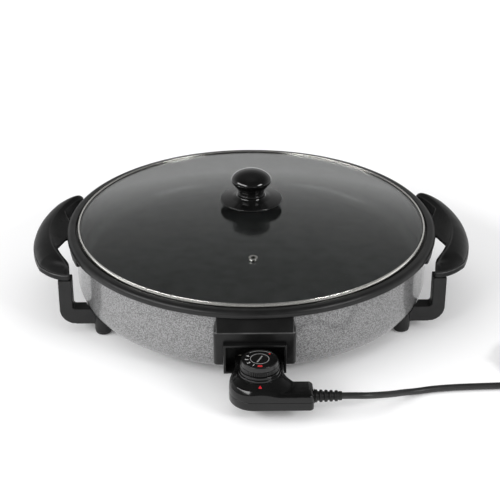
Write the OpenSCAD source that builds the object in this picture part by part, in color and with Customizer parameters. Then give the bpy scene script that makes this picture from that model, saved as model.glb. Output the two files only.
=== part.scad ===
// Round electric skillet with a glass lid, two side handles on legs and a plug-in dial controller.
// Millimetres, +Z up. The origin is on the table, under the middle of the object's footprint.
// Modules are drawn round the pan's own axis; on_pan() shifts them to the origin.

/* [Pan] */
// Height of the rim above the table
rim_h = 95; // [93:0.5:100]
// Outside diameter of the rim band
rim_d = 426; // [424:0.5:432]
// Height of the rim band
band_h = 8; // [7:0.5:10]
// Outside diameter of the pan's wall
wall_d = 406; // [405:0.5:408]
// Thickness of the wall and skirt
wall_t = 4.5; // [3.5:0.1:5]
// Thickness of the cooking floor
floor_t = 5; // [4:0.5:7]
// Height of the cooking floor's underside above the table
floor_h = 41; // [41:0.5:44]
// Radius between the cooking floor and the wall
floor_corner_r = 14; // [8:1:20]
// Gap between the skirt and the table
skirt_gap = 12; // [11:0.5:13]
// Radius of the skirt's turned-in bottom corner
skirt_corner_r = 25; // [22:1:27]
// Radius of the rim's shoulder
shoulder_r = 5; // [3:0.5:6]
// Depth of the lid's seat below the rim
seat_depth = 4; // [3:0.5:5]

/* [Heater] */
// Diameter of the heating element's ring, middle to middle
element_d = 250; // [220:5:290]
// Width and height of the element's tube
element_w = 8; // [6:0.5:9]
// Distance between the two terminal pins
terminal_pitch = 31; // [29:0.5:31]
// Diameter of a terminal pin
terminal_d = 5.6; // [5:0.1:6]
// Length of a terminal pin in front of its insulator
terminal_reach = 9; // [6:0.5:10]
// Diameter of a terminal insulator
insulator_d = 10; // [9:0.5:10.5]

/* [Lid] */
// Outside diameter of the lid's steel ring
lid_d = 402; // [401:0.5:403]
// Height of the ring
ring_h = 7; // [6.5:0.1:8]
// Thickness of the ring's sheet
ring_t = 0.8; // [0.5:0.1:1]
// Width of the ring's lips over and under the glass
ring_lip = 4.5; // [4:0.5:6]
// Thickness of the glass
glass_t = 4; // [3:0.1:4.4]
// Rise of the glass dome
dome_h = 21; // [15:0.5:28]
// Distance of the steam vent from the lid's middle
vent_r = 120; // [80:1:160]
// Bore of the steam vent
vent_d = 5; // [3:0.5:6]
// Diameter of the vent's flange
vent_flange_d = 10; // [9:0.5:13]

/* [Lid knob] */
// Widest diameter of the knob
knob_d = 46; // [42:0.5:52]
// Height of the knob above its finger guard
knob_h = 31; // [29:0.5:38]
// Height of the knob's domed top above its widest line
knob_crown = 10; // [8:0.5:12]
// Diameter of the knob's neck
neck_d = 27; // [24:0.5:30]
// Diameter of the finger guard
guard_d = 72; // [64:1:80]
// Height of the finger guard's hub
guard_h = 11.5; // [10:0.5:13]
// Thickness of the finger guard's edge
guard_edge = 3; // [2:0.5:4]
// Diameter of the knob's screw
knob_screw_d = 4; // [3:0.5:5]

/* [Handles] */
// Distance of the handle arcs' centre from the pan's axis
arc_x = 70; // [66:0.5:74]
// Radius of the grip's inner face
grip_r_in = 158; // [157:0.5:160]
// Radius of the grip's ridge
ridge_r = 163; // [162:0.5:166]
// Radius of the grip's outer edge
grip_r_out = 183; // [180:0.5:186]
// Height of the ridge above the table
ridge_z = 91; // [88:0.5:94]
// Height of the grip's underside above the table
grip_z = 67; // [62:0.5:70]
// Thickness of the plate that closes the grip from below
base_t = 7; // [6:0.5:9]
// Distance from the middle of the handle to its ends
grip_end_y = 91; // [88:0.5:96]
// Radius that rounds the outer corners of the ends
grip_end_r = 113; // [111:0.5:116]
// Half width of the web at the grip
web_out_y = 66; // [50:1:70]
// Half width of the web at the pan
web_in_y = 24; // [15:1:30]
// Thickness of the web
web_t = 10; // [8:0.5:11]
// Thickness of the flange on the pan's wall
flange_t = 8; // [7.8:0.1:8.5]
// Half angle of the flange
flange_angle = 23; // [20:0.5:26]

/* [Legs] */
// Thickness of a leg, seen from the front
leg_t = 15; // [14:0.5:17]
// Depth of a leg, seen from the side
leg_depth = 17; // [15:0.5:20]
// Distance of a leg's outer face from the pan's axis
leg_x = 217; // [215:0.5:219]
// Radius of a leg's bend
leg_bend_r = 18; // [12:1:20]
// Height of the leg's foot bar above the table
bar_z = 12; // [10:0.5:14]
// Height of the foot bar itself
bar_h = 19; // [16:0.5:22]
// Distance of a foot from the pan's axis, sideways
foot_x = 169; // [166:0.5:171]
// Distance of a foot from the pan's axis, front to back
foot_y = 88; // [85:0.5:91]
// Diameter of a foot post
foot_d = 19; // [18:0.5:21]
// Height of the rubber foot pad
pad_h = 3; // [2:0.5:4]

/* [Socket] */
// Distance of the socket hood's front face from the pan's axis
hood_y = 216; // [214:0.5:218]
// Half width of the hood
hood_x = 43; // [42:0.5:46]
// Half width of the hood at its top
hood_top_x = 38.5; // [36:0.5:42]
// Height of the hood's lower edge above the table
hood_z = 34; // [32:0.5:36]
// Height of the hood's front edge above the table
hood_edge_z = 72; // [68:0.5:76]
// How far the inner frame stands out of the hood
frame_out = 6; // [4:0.5:8]
// Outside width of the inner frame
frame_w = 65.4; // [64:0.2:68]
// Outside height of the inner frame
frame_h = 34; // [33:0.5:37]
// Height of the inner frame's underside above the table
frame_z = 27; // [26:0.5:27.5]
// Wall of the inner frame
frame_t = 2.5; // [2:0.1:2.6]
// Thickness of the inner frame's back
frame_back_t = 4; // [3:0.5:5]

/* [Controller] */
// Distance of the controller's front from the pan's axis
ctrl_front = 275; // [272:0.5:280]
// Height of the controller's underside above the table
ctrl_z = 15; // [13:0.5:16]
// Height of the arm's top above the table
arm_top = 33; // [32:0.5:34]
// Height of the hump's top above the table
hump_top = 42; // [42:0.5:44]
// Height of the line where the two shells meet
split_z = 25; // [24.5:0.5:25.5]
// Wall of the two shells
shell_t = 2; // [1.6:0.1:2.2]
// Left side of the controller, from the pan's axis
ctrl_left = 26; // [25:0.5:29]
// Right side of the main body, from the pan's axis
ctrl_right = 30; // [30:0.5:32]
// Right end of the arm, from the pan's axis
arm_right = 59; // [58:0.5:62]
// Depth of the arm
arm_depth = 29; // [28:0.5:32]
// Radius of the front left corner
ctrl_corner_r = 25; // [15:1:25]
// Left side of the neck, from the pan's axis
neck_left = 22; // [21.5:0.5:24]
// Clearance of the neck in the frame
neck_gap = 0.5; // [0.3:0.1:0.6]
// Dial's distance to the right of the pan's axis
dial_x = 4.3; // [3:0.1:6]
// Diameter of the dial
dial_d = 40; // [36:0.5:40]
// Height of the dial
dial_h = 10.5; // [8:0.5:10.5]
// Height of each of the two steps under the dial
step_h = 2.8; // [2:0.1:3]
// Diameter of the dial's spindle
spindle_d = 6; // [5:0.5:7]
// Diameter of the temperature probe
probe_d = 7; // [6:0.5:7]
// Length of the probe outside the neck
probe_l = 78; // [60:1:90]
// Diameter of a contact socket
contact_d = 8.2; // [8:0.1:8.4]

/* [Cord] */
// Diameter of the cord
cord_d = 7; // [6:0.5:7]
// Height of the cord's axis at the controller
boot_z = 24; // [24:0.5:24.5]
// Length of the strain relief outside the arm
boot_l = 29; // [27:0.5:31]
// Diameter of the strain relief's ribs
boot_d = 13.6; // [12:0.1:14]
// Number of ribs on the strain relief
boot_ribs = 5; // [4:1:6]
// Turns of the put-away coil
coil_turns = 4.25; // [4.25:1:6.25]
// Radius of the coil's outermost turn
coil_r = 46; // [45:0.5:50]
// Distance between the middles of neighbouring turns and layers
coil_pitch = 7.6; // [7.5:0.1:8]
// Diameter of the plug
plug_d = 38; // [36:0.5:40]
// Length of the plug's body
plug_l = 36; // [32:1:40]
// Diameter of a plug pin
pin_d = 4.8; // [4:0.1:4.8]
// Length of a plug pin outside the plug
pin_l = 19; // [17:0.5:19]
// Distance between the plug's pins
pin_pitch = 19; // [18:0.5:20]

/* [Fasteners and clearances] */
// Diameter of the structural screws
screw_d = 4; // [3.5:0.1:4.2]
// Diameter of the structural screws' heads
screw_head_d = 7.4; // [7:0.1:8]
// Height of the structural screws' heads
screw_head_h = 2.6; // [2:0.1:3]
// Diameter of the controller's small screws
small_screw_d = 2.6; // [2.2:0.1:3]
// Diameter of the small screws' heads
small_head_d = 4.6; // [4.4:0.1:5]
// Height of the small screws' heads
small_head_h = 1.2; // [1:0.1:1.4]
// Gap round a screw in its thread or hole
thread_gap = 0.05; // [0.03:0.01:0.1]
// Gap between fixed pieces that follow the pan's curve
seat_gap = 0.3; // [0.2:0.05:0.4]
// Gap between pieces that slide apart
slide_gap = 0.3; // [0.25:0.05:0.4]
// Running clearance of the dial's spindle, on the radius
run_gap = 0.05; // [0.02:0.01:0.08]
// Gap between flat pieces put together
fit_gap = 0.1; // [0.05:0.05:0.15]

/* [Hidden] */
$fn = 96;

BLACK = "#1c1c1d";
STEEL = "#b9bbbd";
BRASS = "#b59a55";

rim_r = rim_d / 2;
wall_r = wall_d / 2;
lid_r = lid_d / 2;
pan_y = (ctrl_front - rim_r) / 2;
band_z = rim_h - band_h;
seat_z = rim_h - seat_depth;
floor_top = floor_h + floor_t;
skirt_r = wall_r - wall_t;
seat_r = lid_r + 4 * slide_gap + 0.8;
wide = 2 * rim_d;

// Points of an arc round c, from angle a0 to a1, in n steps
function arc(c, r, a0, a1, n = 8) =
    [for (i = [0:n]) let (a = a0 + (a1 - a0) * i / n) c + r * [cos(a), sin(a)]];

// Moves the pan's axis to its place over the origin
module on_pan() { translate([0, pan_y, 0]) children(); }

// A cylinder along +Y that starts at the point p
module along_y(p, r, l) { translate(p) rotate([-90, 0, 0]) cylinder(r = r, h = l); }

// A box from corner a to corner b
module block(a, b) { translate(a) cube(b - a); }

// Four copies, one in each quarter of the plan
module each_quarter() {
    for (x = [0, 1], y = [0, 1]) mirror([x, 0, 0]) mirror([0, y, 0]) children();
}

// A screw that stands on its head, with the head's bearing face at z = 0
module screw(d, l, head_d, head_h) {
    translate([0, 0, -head_h]) cylinder(d = head_d, h = head_h);
    cylinder(d = d, h = l);
}

// Pan

// The body of the pan's outside, grown by gap, that fixed pieces are cut to
module pan_outside(gap) {
    rotate_extrude($fn = 180) polygon(concat(
        [[0, skirt_gap - gap]],
        arc([wall_r - skirt_corner_r, skirt_gap + skirt_corner_r], skirt_corner_r + gap, -90, 0, 10),
        [[wall_r + gap, band_z], [0, band_z]]));
}

module pan_shell() {
    in_r = skirt_r;
    lip_r = 1.5;
    edge_r = 1.2;
    rotate_extrude($fn = 180) polygon(concat(
        [[0, floor_top]],
        arc([in_r - floor_corner_r, floor_top + floor_corner_r], floor_corner_r, -90, 0, 8),
        [[in_r, seat_z], [seat_r, seat_z]],
        arc([seat_r + lip_r, rim_h - lip_r], lip_r, 180, 90, 4),
        arc([rim_r - shoulder_r, rim_h - shoulder_r], shoulder_r, 90, 0, 8),
        arc([rim_r - edge_r, band_z + edge_r], edge_r, 0, -90, 4),
        [[wall_r, band_z]],
        arc([wall_r - skirt_corner_r, skirt_gap + skirt_corner_r], skirt_corner_r, 0, -90, 10),
        arc([wall_r - skirt_corner_r, skirt_gap + skirt_corner_r], skirt_corner_r - wall_t, -90, 0, 10),
        [[skirt_r, floor_h], [0, floor_h]]));
}

socket_z = frame_z + frame_t + neck_gap + 1.4 + contact_d / 2 + fit_gap;
boss_w = probe_d + 9;
boss_l = 90;
boss_start = wall_r - wall_t / 2;
foot_boss_d = 3 * screw_d;
window_x = terminal_pitch / 2 + insulator_d / 2 + 2;
window_z = socket_z - insulator_d / 2 - 1;
handle_hole_r = wall_r + seat_gap + screw_head_d / 2 + 0.2;
handle_hole_angle = 15;
handle_screw_depth = 5.5;
hood_screw = [hood_x - 5, sqrt(pow(wall_r + 4.6, 2) - pow(hood_x - 5, 2))];

// Puts children at the two screws of each handle, upright in the rim's underside
module at_handle_screws() {
    for (side = [0, 180], a = [-handle_hole_angle, handle_hole_angle])
        rotate([0, 0, side + a]) translate([handle_hole_r, 0, 0]) children();
}

module at_hood_screws() {
    for (s = [-1, 1]) translate([s * hood_screw.x, -hood_screw.y, 0]) children();
}

module pan() {
    color("#8d8f92") on_pan() difference() {
        union() {
            pan_shell();
            block([-boss_w / 2, -boss_start, socket_z - boss_w / 2],
                [boss_w / 2, boss_l - boss_start, floor_h + 1]);
            intersection() {
                each_quarter() translate([foot_x, foot_y, 0]) cylinder(d = foot_boss_d, h = floor_h + 1);
                pan_outside(0);
            }
        }
        block([-window_x, -wall_r - 1, window_z], [window_x, -skirt_r + 1.5, floor_h]);
        along_y([0, -wall_r - 1, socket_z], probe_d / 2 + slide_gap, wall_r - boss_start + probe_l + 8);
        each_quarter() translate([foot_x, foot_y, 0])
            cylinder(d = screw_d + 2 * thread_gap, h = floor_h - 2);
        at_handle_screws() translate([0, 0, band_z - 1])
            cylinder(d = screw_d + 2 * thread_gap, h = handle_screw_depth + 1);
        at_hood_screws() translate([0, 0, band_z - 1])
            cylinder(d = screw_d + 2 * thread_gap, h = handle_screw_depth + 1);
    }
}

element_end = skirt_r - 5;
lead_w = element_w - 1;

// Section of a heater tube of width w, flat on top where it is brazed to the floor
module element_section(w) {
    polygon(concat([[w / 2, 0]], arc([0, -w / 2], w / 2, 0, -180, 10), [[-w / 2, 0]]));
}

module heating_element() {
    gap_angle = asin(terminal_pitch / element_d);
    lead_start = element_d / 2 * cos(gap_angle) - lead_w / 2;
    color("#77736d") on_pan() translate([0, 0, floor_h]) {
        rotate([0, 0, -90 + gap_angle]) rotate_extrude(angle = 360 - 2 * gap_angle, $fn = 120)
            translate([element_d / 2, 0]) element_section(element_w);
        for (s = [-1, 1]) translate([s * terminal_pitch / 2, -lead_start, 0]) rotate([90, 0, 0])
            linear_extrude(element_end - lead_start) element_section(lead_w);
    }
}

frame_front = hood_y + frame_out;
frame_back = wall_r + seat_gap;
insulator_front = frame_back + frame_back_t + 1;

module at_terminals() {
    for (s = [-1, 1]) translate([s * terminal_pitch / 2, 0, socket_z]) children();
}

module terminal_pins() {
    color(STEEL) on_pan() at_terminals()
        along_y([0, -insulator_front - terminal_reach, 0], terminal_d / 2,
            insulator_front + terminal_reach - element_end);
}

module terminal_insulators() {
    color("#e6e0d2") on_pan() at_terminals() difference() {
        along_y([0, -insulator_front, 0], insulator_d / 2, insulator_front - skirt_r + 1);
        along_y([0, -insulator_front - 1, 0], terminal_d / 2 + thread_gap, insulator_front);
    }
}

// Socket in front of the pan

frame_top = frame_z + frame_h;
hood_top = band_z - fit_gap;

module socket_hood() {
    side_chamfer = 5;
    color(BLACK) on_pan() difference() {
        intersection() {
            translate([-hood_x, 0, 0]) rotate([90, 0, 90]) linear_extrude(2 * hood_x)
                polygon([[-hood_y, hood_z], [-hood_y, hood_edge_z], [-wall_r - 2, hood_top],
                    [0, hood_top], [0, hood_z]]);
            translate([0, -wall_r / 2, 0]) rotate([90, 0, 0]) linear_extrude(wall_r)
                polygon([[-hood_x + side_chamfer, hood_z], [hood_x - side_chamfer, hood_z],
                    [hood_x, hood_z + side_chamfer], [hood_x, hood_edge_z], [hood_top_x, hood_top],
                    [-hood_top_x, hood_top], [-hood_x, hood_edge_z], [-hood_x, hood_z + side_chamfer]]);
        }
        pan_outside(seat_gap);
        block([-frame_w / 2 - fit_gap, -frame_front, 0],
            [frame_w / 2 + fit_gap, 0, frame_top + fit_gap]);
        at_hood_screws() {
            translate([0, 0, hood_z - 1]) cylinder(d = screw_head_d + 0.4, h = hood_edge_z - hood_z + 1);
            cylinder(d = screw_d + 0.4, h = rim_h);
        }
    }
}

module socket_frame() {
    color(BLACK) on_pan() difference() {
        block([-frame_w / 2, -frame_front, frame_z], [frame_w / 2, 0, frame_top]);
        block([-frame_w / 2 + frame_t, -frame_front - 1, frame_z + frame_t],
            [frame_w / 2 - frame_t, -frame_back - frame_back_t, frame_top - frame_t]);
        pan_outside(seat_gap);
        at_terminals() along_y([0, -frame_front, 0], insulator_d / 2 + thread_gap, frame_front);
        along_y([0, -frame_front, socket_z], probe_d / 2 + 2 * slide_gap, frame_front);
    }
}

module hood_screws() {
    color(STEEL) on_pan() at_hood_screws() translate([0, 0, hood_edge_z])
        screw(screw_d, band_z - hood_edge_z + handle_screw_depth - 0.5, screw_head_d, screw_head_h);
}

// Handles, drawn on the +X side

grip_top_of_base = grip_z + base_t;
flange_r = wall_r + flange_t + seat_gap;
flange_z = band_z - fit_gap - web_t;
base_screw_r = (grip_r_in + grip_r_out) / 2;
base_screw_angles = [-18, 0, 18];
base_screw_l = 15;
leg_y = grip_end_y - leg_depth / 2;
leg_screw_l = 22;

// Keeps children to the handle's plan, with rounded outer corners at its two ends
module handle_plan() {
    end_x = arc_x + grip_r_out - grip_end_r + 10;
    intersection() {
        children();
        translate([end_x, 0, 0]) cylinder(r = grip_end_r, h = rim_h);
        block([0, -grip_end_y, 0], [wide, grip_end_y, rim_h]);
    }
}

// A ring of the given section round the handle's arc centre, on the handle's side only
module handle_arc(section) {
    sweep = 110;
    translate([arc_x, 0, 0]) rotate([0, 0, -sweep / 2]) rotate_extrude(angle = sweep, $fn = 240)
        polygon(section);
}

module at_base_screws() {
    for (a = base_screw_angles) translate([arc_x, 0, 0]) rotate([0, 0, a])
        translate([base_screw_r, 0, grip_z]) children();
}

module at_leg_screws() {
    for (s = [-1, 1]) translate([leg_x - leg_t / 2, s * leg_y, grip_z - 8]) children();
}

module handle_web() {
    ridge_x = arc_x + ridge_r;
    low_x = rim_r + 1;
    low_z = band_z - fit_gap - 1.4;
    intersection() {
        linear_extrude(rim_h) polygon([[wall_r, -web_in_y], [rim_r, -web_in_y],
            [arc_x + grip_r_in, -web_out_y], [arc_x + grip_r_in, web_out_y],
            [rim_r, web_in_y], [wall_r, web_in_y]]);
        translate([0, wide / 2, 0]) rotate([90, 0, 0]) linear_extrude(wide)
            polygon([[wall_r, flange_z], [ridge_x, flange_z], [ridge_x, ridge_z],
                [low_x, low_z], [wall_r, low_z]]);
    }
}

module handle_flange() {
    far = wide * tan(flange_angle);
    intersection() {
        difference() {
            translate([0, 0, flange_z]) cylinder(r = flange_r, h = band_z - fit_gap - flange_z, $fn = 180);
            cylinder(r = wall_r + seat_gap, h = rim_h, $fn = 180);
        }
        linear_extrude(rim_h) polygon([[0, 0], [wide, -far], [wide, far]]);
    }
}

module handle() {
    lip = 3;
    inner_edge_z = ridge_z - 4;
    difference() {
        union() {
            handle_plan() handle_arc([[grip_r_in, grip_top_of_base], [grip_r_out, grip_top_of_base],
                [grip_r_out, grip_top_of_base + lip], [ridge_r + 2, ridge_z - 0.6], [ridge_r, ridge_z],
                [ridge_r - 2, ridge_z - 0.6], [grip_r_in, inner_edge_z]]);
            difference() {
                handle_web();
                cylinder(r = wall_r + seat_gap, h = rim_h, $fn = 180);
            }
            handle_flange();
        }
        at_handle_screws() cylinder(d = screw_d + 0.4, h = rim_h);
        at_base_screws() cylinder(d = screw_d + 2 * thread_gap, h = base_screw_l + 1);
        at_leg_screws() cylinder(d = screw_d + 2 * thread_gap, h = leg_screw_l + 1);
    }
}

module handle_base() {
    difference() {
        handle_plan() handle_arc([[grip_r_in, grip_z], [grip_r_out, grip_z],
            [grip_r_out, grip_top_of_base], [grip_r_in, grip_top_of_base]]);
        at_base_screws() {
            cylinder(d = screw_d + 0.4, h = base_t + 1);
            translate([0, 0, -1]) cylinder(d = screw_head_d + 0.4, h = screw_head_h + 1);
        }
        at_leg_screws() cylinder(d = screw_d + 0.4, h = leg_screw_l);
    }
}

module left_handle() { color(BLACK) on_pan() mirror([1, 0, 0]) handle(); }
module right_handle() { color(BLACK) on_pan() handle(); }
module left_handle_base() { color(BLACK) on_pan() mirror([1, 0, 0]) handle_base(); }
module right_handle_base() { color(BLACK) on_pan() handle_base(); }

module handle_screws() {
    color(STEEL) on_pan() at_handle_screws() translate([0, 0, flange_z])
        screw(screw_d, web_t + fit_gap + handle_screw_depth - 0.5, screw_head_d, screw_head_h);
}

module base_screws() {
    color(STEEL) on_pan() for (side = [0, 1]) mirror([side, 0, 0]) at_base_screws()
        translate([0, 0, screw_head_h])
            screw(screw_d, base_screw_l - screw_head_h, screw_head_d, screw_head_h);
}

// Legs, drawn in the front right quarter

bar_top = bar_z + bar_h;

module leg() {
    inner_x = leg_x - leg_t;
    bend = [leg_x - leg_bend_r, bar_z + leg_bend_r];
    counterbore = [leg_x - leg_t / 2, -leg_y, 0];
    difference() {
        union() {
            translate([0, -grip_end_y + leg_depth, 0]) rotate([90, 0, 0]) linear_extrude(leg_depth)
                polygon(concat([[foot_x, bar_z]], arc(bend, leg_bend_r, -90, 0, 10),
                    [[leg_x, grip_z], [inner_x, grip_z]],
                    arc([inner_x - 3, bar_top + 3], 3, 0, -90, 4), [[foot_x, bar_top]]));
            translate([foot_x, -foot_y, pad_h]) cylinder(d = foot_d, h = bar_top - pad_h);
        }
        pan_outside(seat_gap);
        translate(counterbore) cylinder(d = screw_head_d + 0.6, h = grip_z - 8);
        translate(counterbore) cylinder(d = screw_d + 0.4, h = rim_h);
        translate([foot_x, -foot_y, 0]) cylinder(d = screw_head_d + 0.6, h = pad_h + 4);
        translate([foot_x, -foot_y, 0]) cylinder(d = screw_d + 0.4, h = rim_h);
    }
}

module front_right_leg() { color(BLACK) on_pan() leg(); }
module front_left_leg() { color(BLACK) on_pan() mirror([1, 0, 0]) leg(); }
module rear_right_leg() { color(BLACK) on_pan() mirror([0, 1, 0]) leg(); }
module rear_left_leg() { color(BLACK) on_pan() mirror([1, 0, 0]) mirror([0, 1, 0]) leg(); }

module leg_screws() {
    color(STEEL) on_pan() for (side = [0, 1]) mirror([side, 0, 0]) at_leg_screws()
        screw(screw_d, leg_screw_l, screw_head_d, screw_head_h);
}

module foot_screws() {
    color(STEEL) on_pan() each_quarter() translate([foot_x, foot_y, pad_h + 4])
        screw(screw_d, floor_h - pad_h - 8, screw_head_d, screw_head_h);
}

module foot_pads() {
    edge_r = pad_h - 0.5;
    stub_d = screw_head_d;
    color("#151515") on_pan() each_quarter() translate([foot_x, foot_y, 0]) {
        rotate_extrude() polygon(concat([[0, 0]],
            arc([foot_d / 2 - 0.5 - edge_r, edge_r], edge_r, -90, 0, 6),
            [[foot_d / 2 - 0.5, pad_h], [0, pad_h]]));
        translate([0, 0, pad_h - 0.5]) cylinder(d = stub_d, h = 1.6);
    }
}

// Lid

glass_r = lid_r - ring_t - seat_gap;
glass_z = seat_z + ring_t + 2 * fit_gap;
dome_r = (glass_r * glass_r + dome_h * dome_h) / (2 * dome_h);
dome_z = glass_z + dome_h - dome_r;
glass_under = glass_z + dome_h;
glass_over = glass_under + glass_t;
vent_tilt = asin(vent_r / (dome_r + glass_t / 2));

// Puts children on the lid's vent, upright on the glass's underside
module at_vent() {
    translate([0, 0, dome_z]) rotate([vent_tilt, 0, 0]) translate([0, 0, dome_r]) children();
}

module lid_glass() {
    color("#c9d2d4", 0.35) on_pan() difference() {
        rotate_extrude($fn = 180) intersection() {
            translate([0, dome_z]) difference() {
                circle(r = dome_r + glass_t, $fn = 1440);
                circle(r = dome_r, $fn = 1440);
            }
            translate([0, glass_z - 1]) square([glass_r, dome_h + glass_t + 2]);
        }
        cylinder(d = knob_screw_d + 1.6, h = 2 * glass_over);
        at_vent() translate([0, 0, -2]) cylinder(d = vent_d + 2, h = glass_t + 4);
    }
}

module lid_ring() {
    round_r = 1.5;
    top = seat_z + ring_h;
    color(STEEL) on_pan() rotate_extrude($fn = 180) polygon(concat(
        [[lid_r - ring_lip - 1, seat_z], [lid_r, seat_z]],
        arc([lid_r - round_r, top - round_r], round_r, 0, 90, 6),
        [[lid_r - ring_lip, top], [lid_r - ring_lip, top - ring_t]],
        arc([lid_r - round_r, top - round_r], round_r - ring_t, 90, 0, 6),
        [[lid_r - ring_t, seat_z + ring_t], [lid_r - ring_lip - 1, seat_z + ring_t]]));
}

module vent_eyelet() {
    flange_t = 0.8;
    under_gap = fit_gap;
    color(STEEL) on_pan() at_vent() difference() {
        union() {
            translate([0, 0, -under_gap - flange_t]) cylinder(d = vent_flange_d - 1, h = flange_t);
            translate([0, 0, -under_gap - flange_t])
                cylinder(d = vent_d + 2 - 2 * fit_gap, h = glass_t + under_gap + 2 * flange_t);
            translate([0, 0, glass_t]) cylinder(d = vent_flange_d, h = flange_t);
        }
        translate([0, 0, -5]) cylinder(d = vent_d, h = glass_t + 10);
    }
}

guard_z = glass_over + 2 * fit_gap;
guard_top = guard_z + guard_h;
knob_z = guard_top + fit_gap;
knob_top = knob_z + knob_h;
insert_l = 14;
washer_t = 1.5;
washer_z = glass_under - fit_gap - washer_t;

module knob_guard() {
    edge_r = guard_edge / 2;
    rise = 2.4;
    color(BLACK) on_pan() difference() {
        rotate_extrude() polygon(concat([[0, guard_z], [16, guard_z]],
            arc([guard_d / 2 - edge_r, guard_z + rise + edge_r], edge_r, -90, 90, 8),
            [[neck_d / 2 + 2, guard_top - 1], [neck_d / 2 + 1, guard_top], [0, guard_top]]));
        cylinder(d = knob_screw_d + 0.4, h = 2 * guard_top);
    }
}

module lid_knob() {
    bead_r = 1.2;
    widest_z = knob_top - knob_crown;
    under_z = widest_z - 7;
    color(BLACK) on_pan() difference() {
        rotate_extrude() polygon(concat([[0, knob_z]],
            arc([neck_d / 2, knob_z + bead_r], bead_r, -90, 90, 6),
            [[neck_d / 2 + 0.5, knob_z + 6], [neck_d / 2 + 2.5, under_z]],
            [for (i = [0:5]) let (a = -70 + 14 * i) [knob_d / 2 - 7 + 7 * cos(a), widest_z + 7 * sin(a)]],
            [for (i = [0:12]) let (a = 90 * i / 12) [knob_d / 2 * cos(a), widest_z + knob_crown * sin(a)]]));
        translate([0, 0, knob_z - 1]) cylinder(d = 2 * knob_screw_d + 2 * thread_gap, h = insert_l + 1.2);
    }
}

module knob_insert() {
    color(BRASS) on_pan() difference() {
        translate([0, 0, knob_z]) cylinder(d = 2 * knob_screw_d, h = insert_l);
        translate([0, 0, knob_z - 1]) cylinder(d = knob_screw_d + 2 * thread_gap, h = insert_l);
    }
}

module knob_washer() {
    color("#303030") on_pan() difference() {
        translate([0, 0, washer_z]) cylinder(d = 5 * knob_screw_d, h = washer_t);
        cylinder(d = knob_screw_d + 0.4, h = 2 * washer_z);
    }
}

module knob_screw() {
    color(STEEL) on_pan() translate([0, 0, washer_z])
        screw(knob_screw_d, knob_z + insert_l - 3 - washer_z, 2 * knob_screw_d, screw_head_h);
}

// Controller

neck_end = frame_back + frame_back_t + 1.5;
neck_bottom = frame_z + frame_t + neck_gap;
neck_right = frame_w / 2 - frame_t - neck_gap;
arm_rear = ctrl_front - arm_depth;
arm_y = ctrl_front - arm_depth / 2;
low_ceiling = arm_top - shell_t;
high_ceiling = hump_top - shell_t;
slope_depth = 13;
slope_angle = atan((hump_top - arm_top) / slope_depth);
dial_y = frame_front + dial_d / 2 + 1;
step_d = dial_d + 1;
dial_z = hump_top + 2 * step_h + slide_gap;
dial_top = dial_z + dial_h;
base_floor = ctrl_z + shell_t;
boss_d = 7;

boss_in = boss_d / 2 + shell_t - 0.5;

// Screw bosses of the two shells: x, distance in front of the pan's axis, and ceiling in the top shell
shell_bosses = [
    [-ctrl_left + boss_in, frame_front + 12, high_ceiling + 0.5],
    [ctrl_right - boss_in, frame_front + 7, high_ceiling + 0.5],
    [ctrl_right - boss_in - 1.5, ctrl_front - boss_in, low_ceiling + 0.5]];

// Plan of the main body, drawn in by the given inset
module main_plan(in) {
    r = ctrl_corner_r - in;
    c = [-ctrl_left + ctrl_corner_r, -ctrl_front + ctrl_corner_r];
    rear = -frame_front - slide_gap - in;
    translate(c) circle(r = r);
    translate([c.x, -ctrl_front + in]) square([ctrl_right - in - c.x, rear + ctrl_front - in]);
    translate([-ctrl_left + in, c.y]) square([ctrl_right + ctrl_left - 2 * in, rear - c.y]);
}

// Plan of the arm that carries the cord, with rounded end corners and a filleted inner corner
module arm_plan(in) {
    r = 5 - in;
    end = arm_right - in;
    front = -ctrl_front + in;
    rear = -arm_rear - in;
    fillet = 9;
    translate([0, front]) square([end - r, rear - front]);
    translate([0, front + r]) square([end, rear - front - 2 * r]);
    for (y = [front + r, rear - r]) translate([end - r, y]) circle(r = r);
    translate([ctrl_right - in, rear]) difference() {
        square(fillet);
        translate([fillet, fillet]) circle(r = fillet);
    }
}

module shell_plan(in) {
    main_plan(in);
    arm_plan(in);
}

// A prism of the shells' plan between two heights
module shell_prism(z0, z1, in) { translate([0, 0, z0]) linear_extrude(z1 - z0) shell_plan(in); }

// The hole for the strain relief's neck in the arm's end wall
module boot_hole() {
    translate([arm_right - shell_t - 1, -arm_y, boot_z]) rotate([0, 90, 0])
        cylinder(d = boot_neck_d + 4 * fit_gap, h = shell_t + 2);
}

module lens_prism(gap) {
    size = 3.2;
    depth = 8;
    translate([dial_x, -ctrl_front + slope_depth / 2, (arm_top + hump_top) / 2]) rotate([slope_angle, 0, 0])
        translate([0, 0, -depth]) rotate([0, 0, 90]) cylinder(r = size + 2 * gap, h = depth + 0.3, $fn = 3);
}

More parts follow.
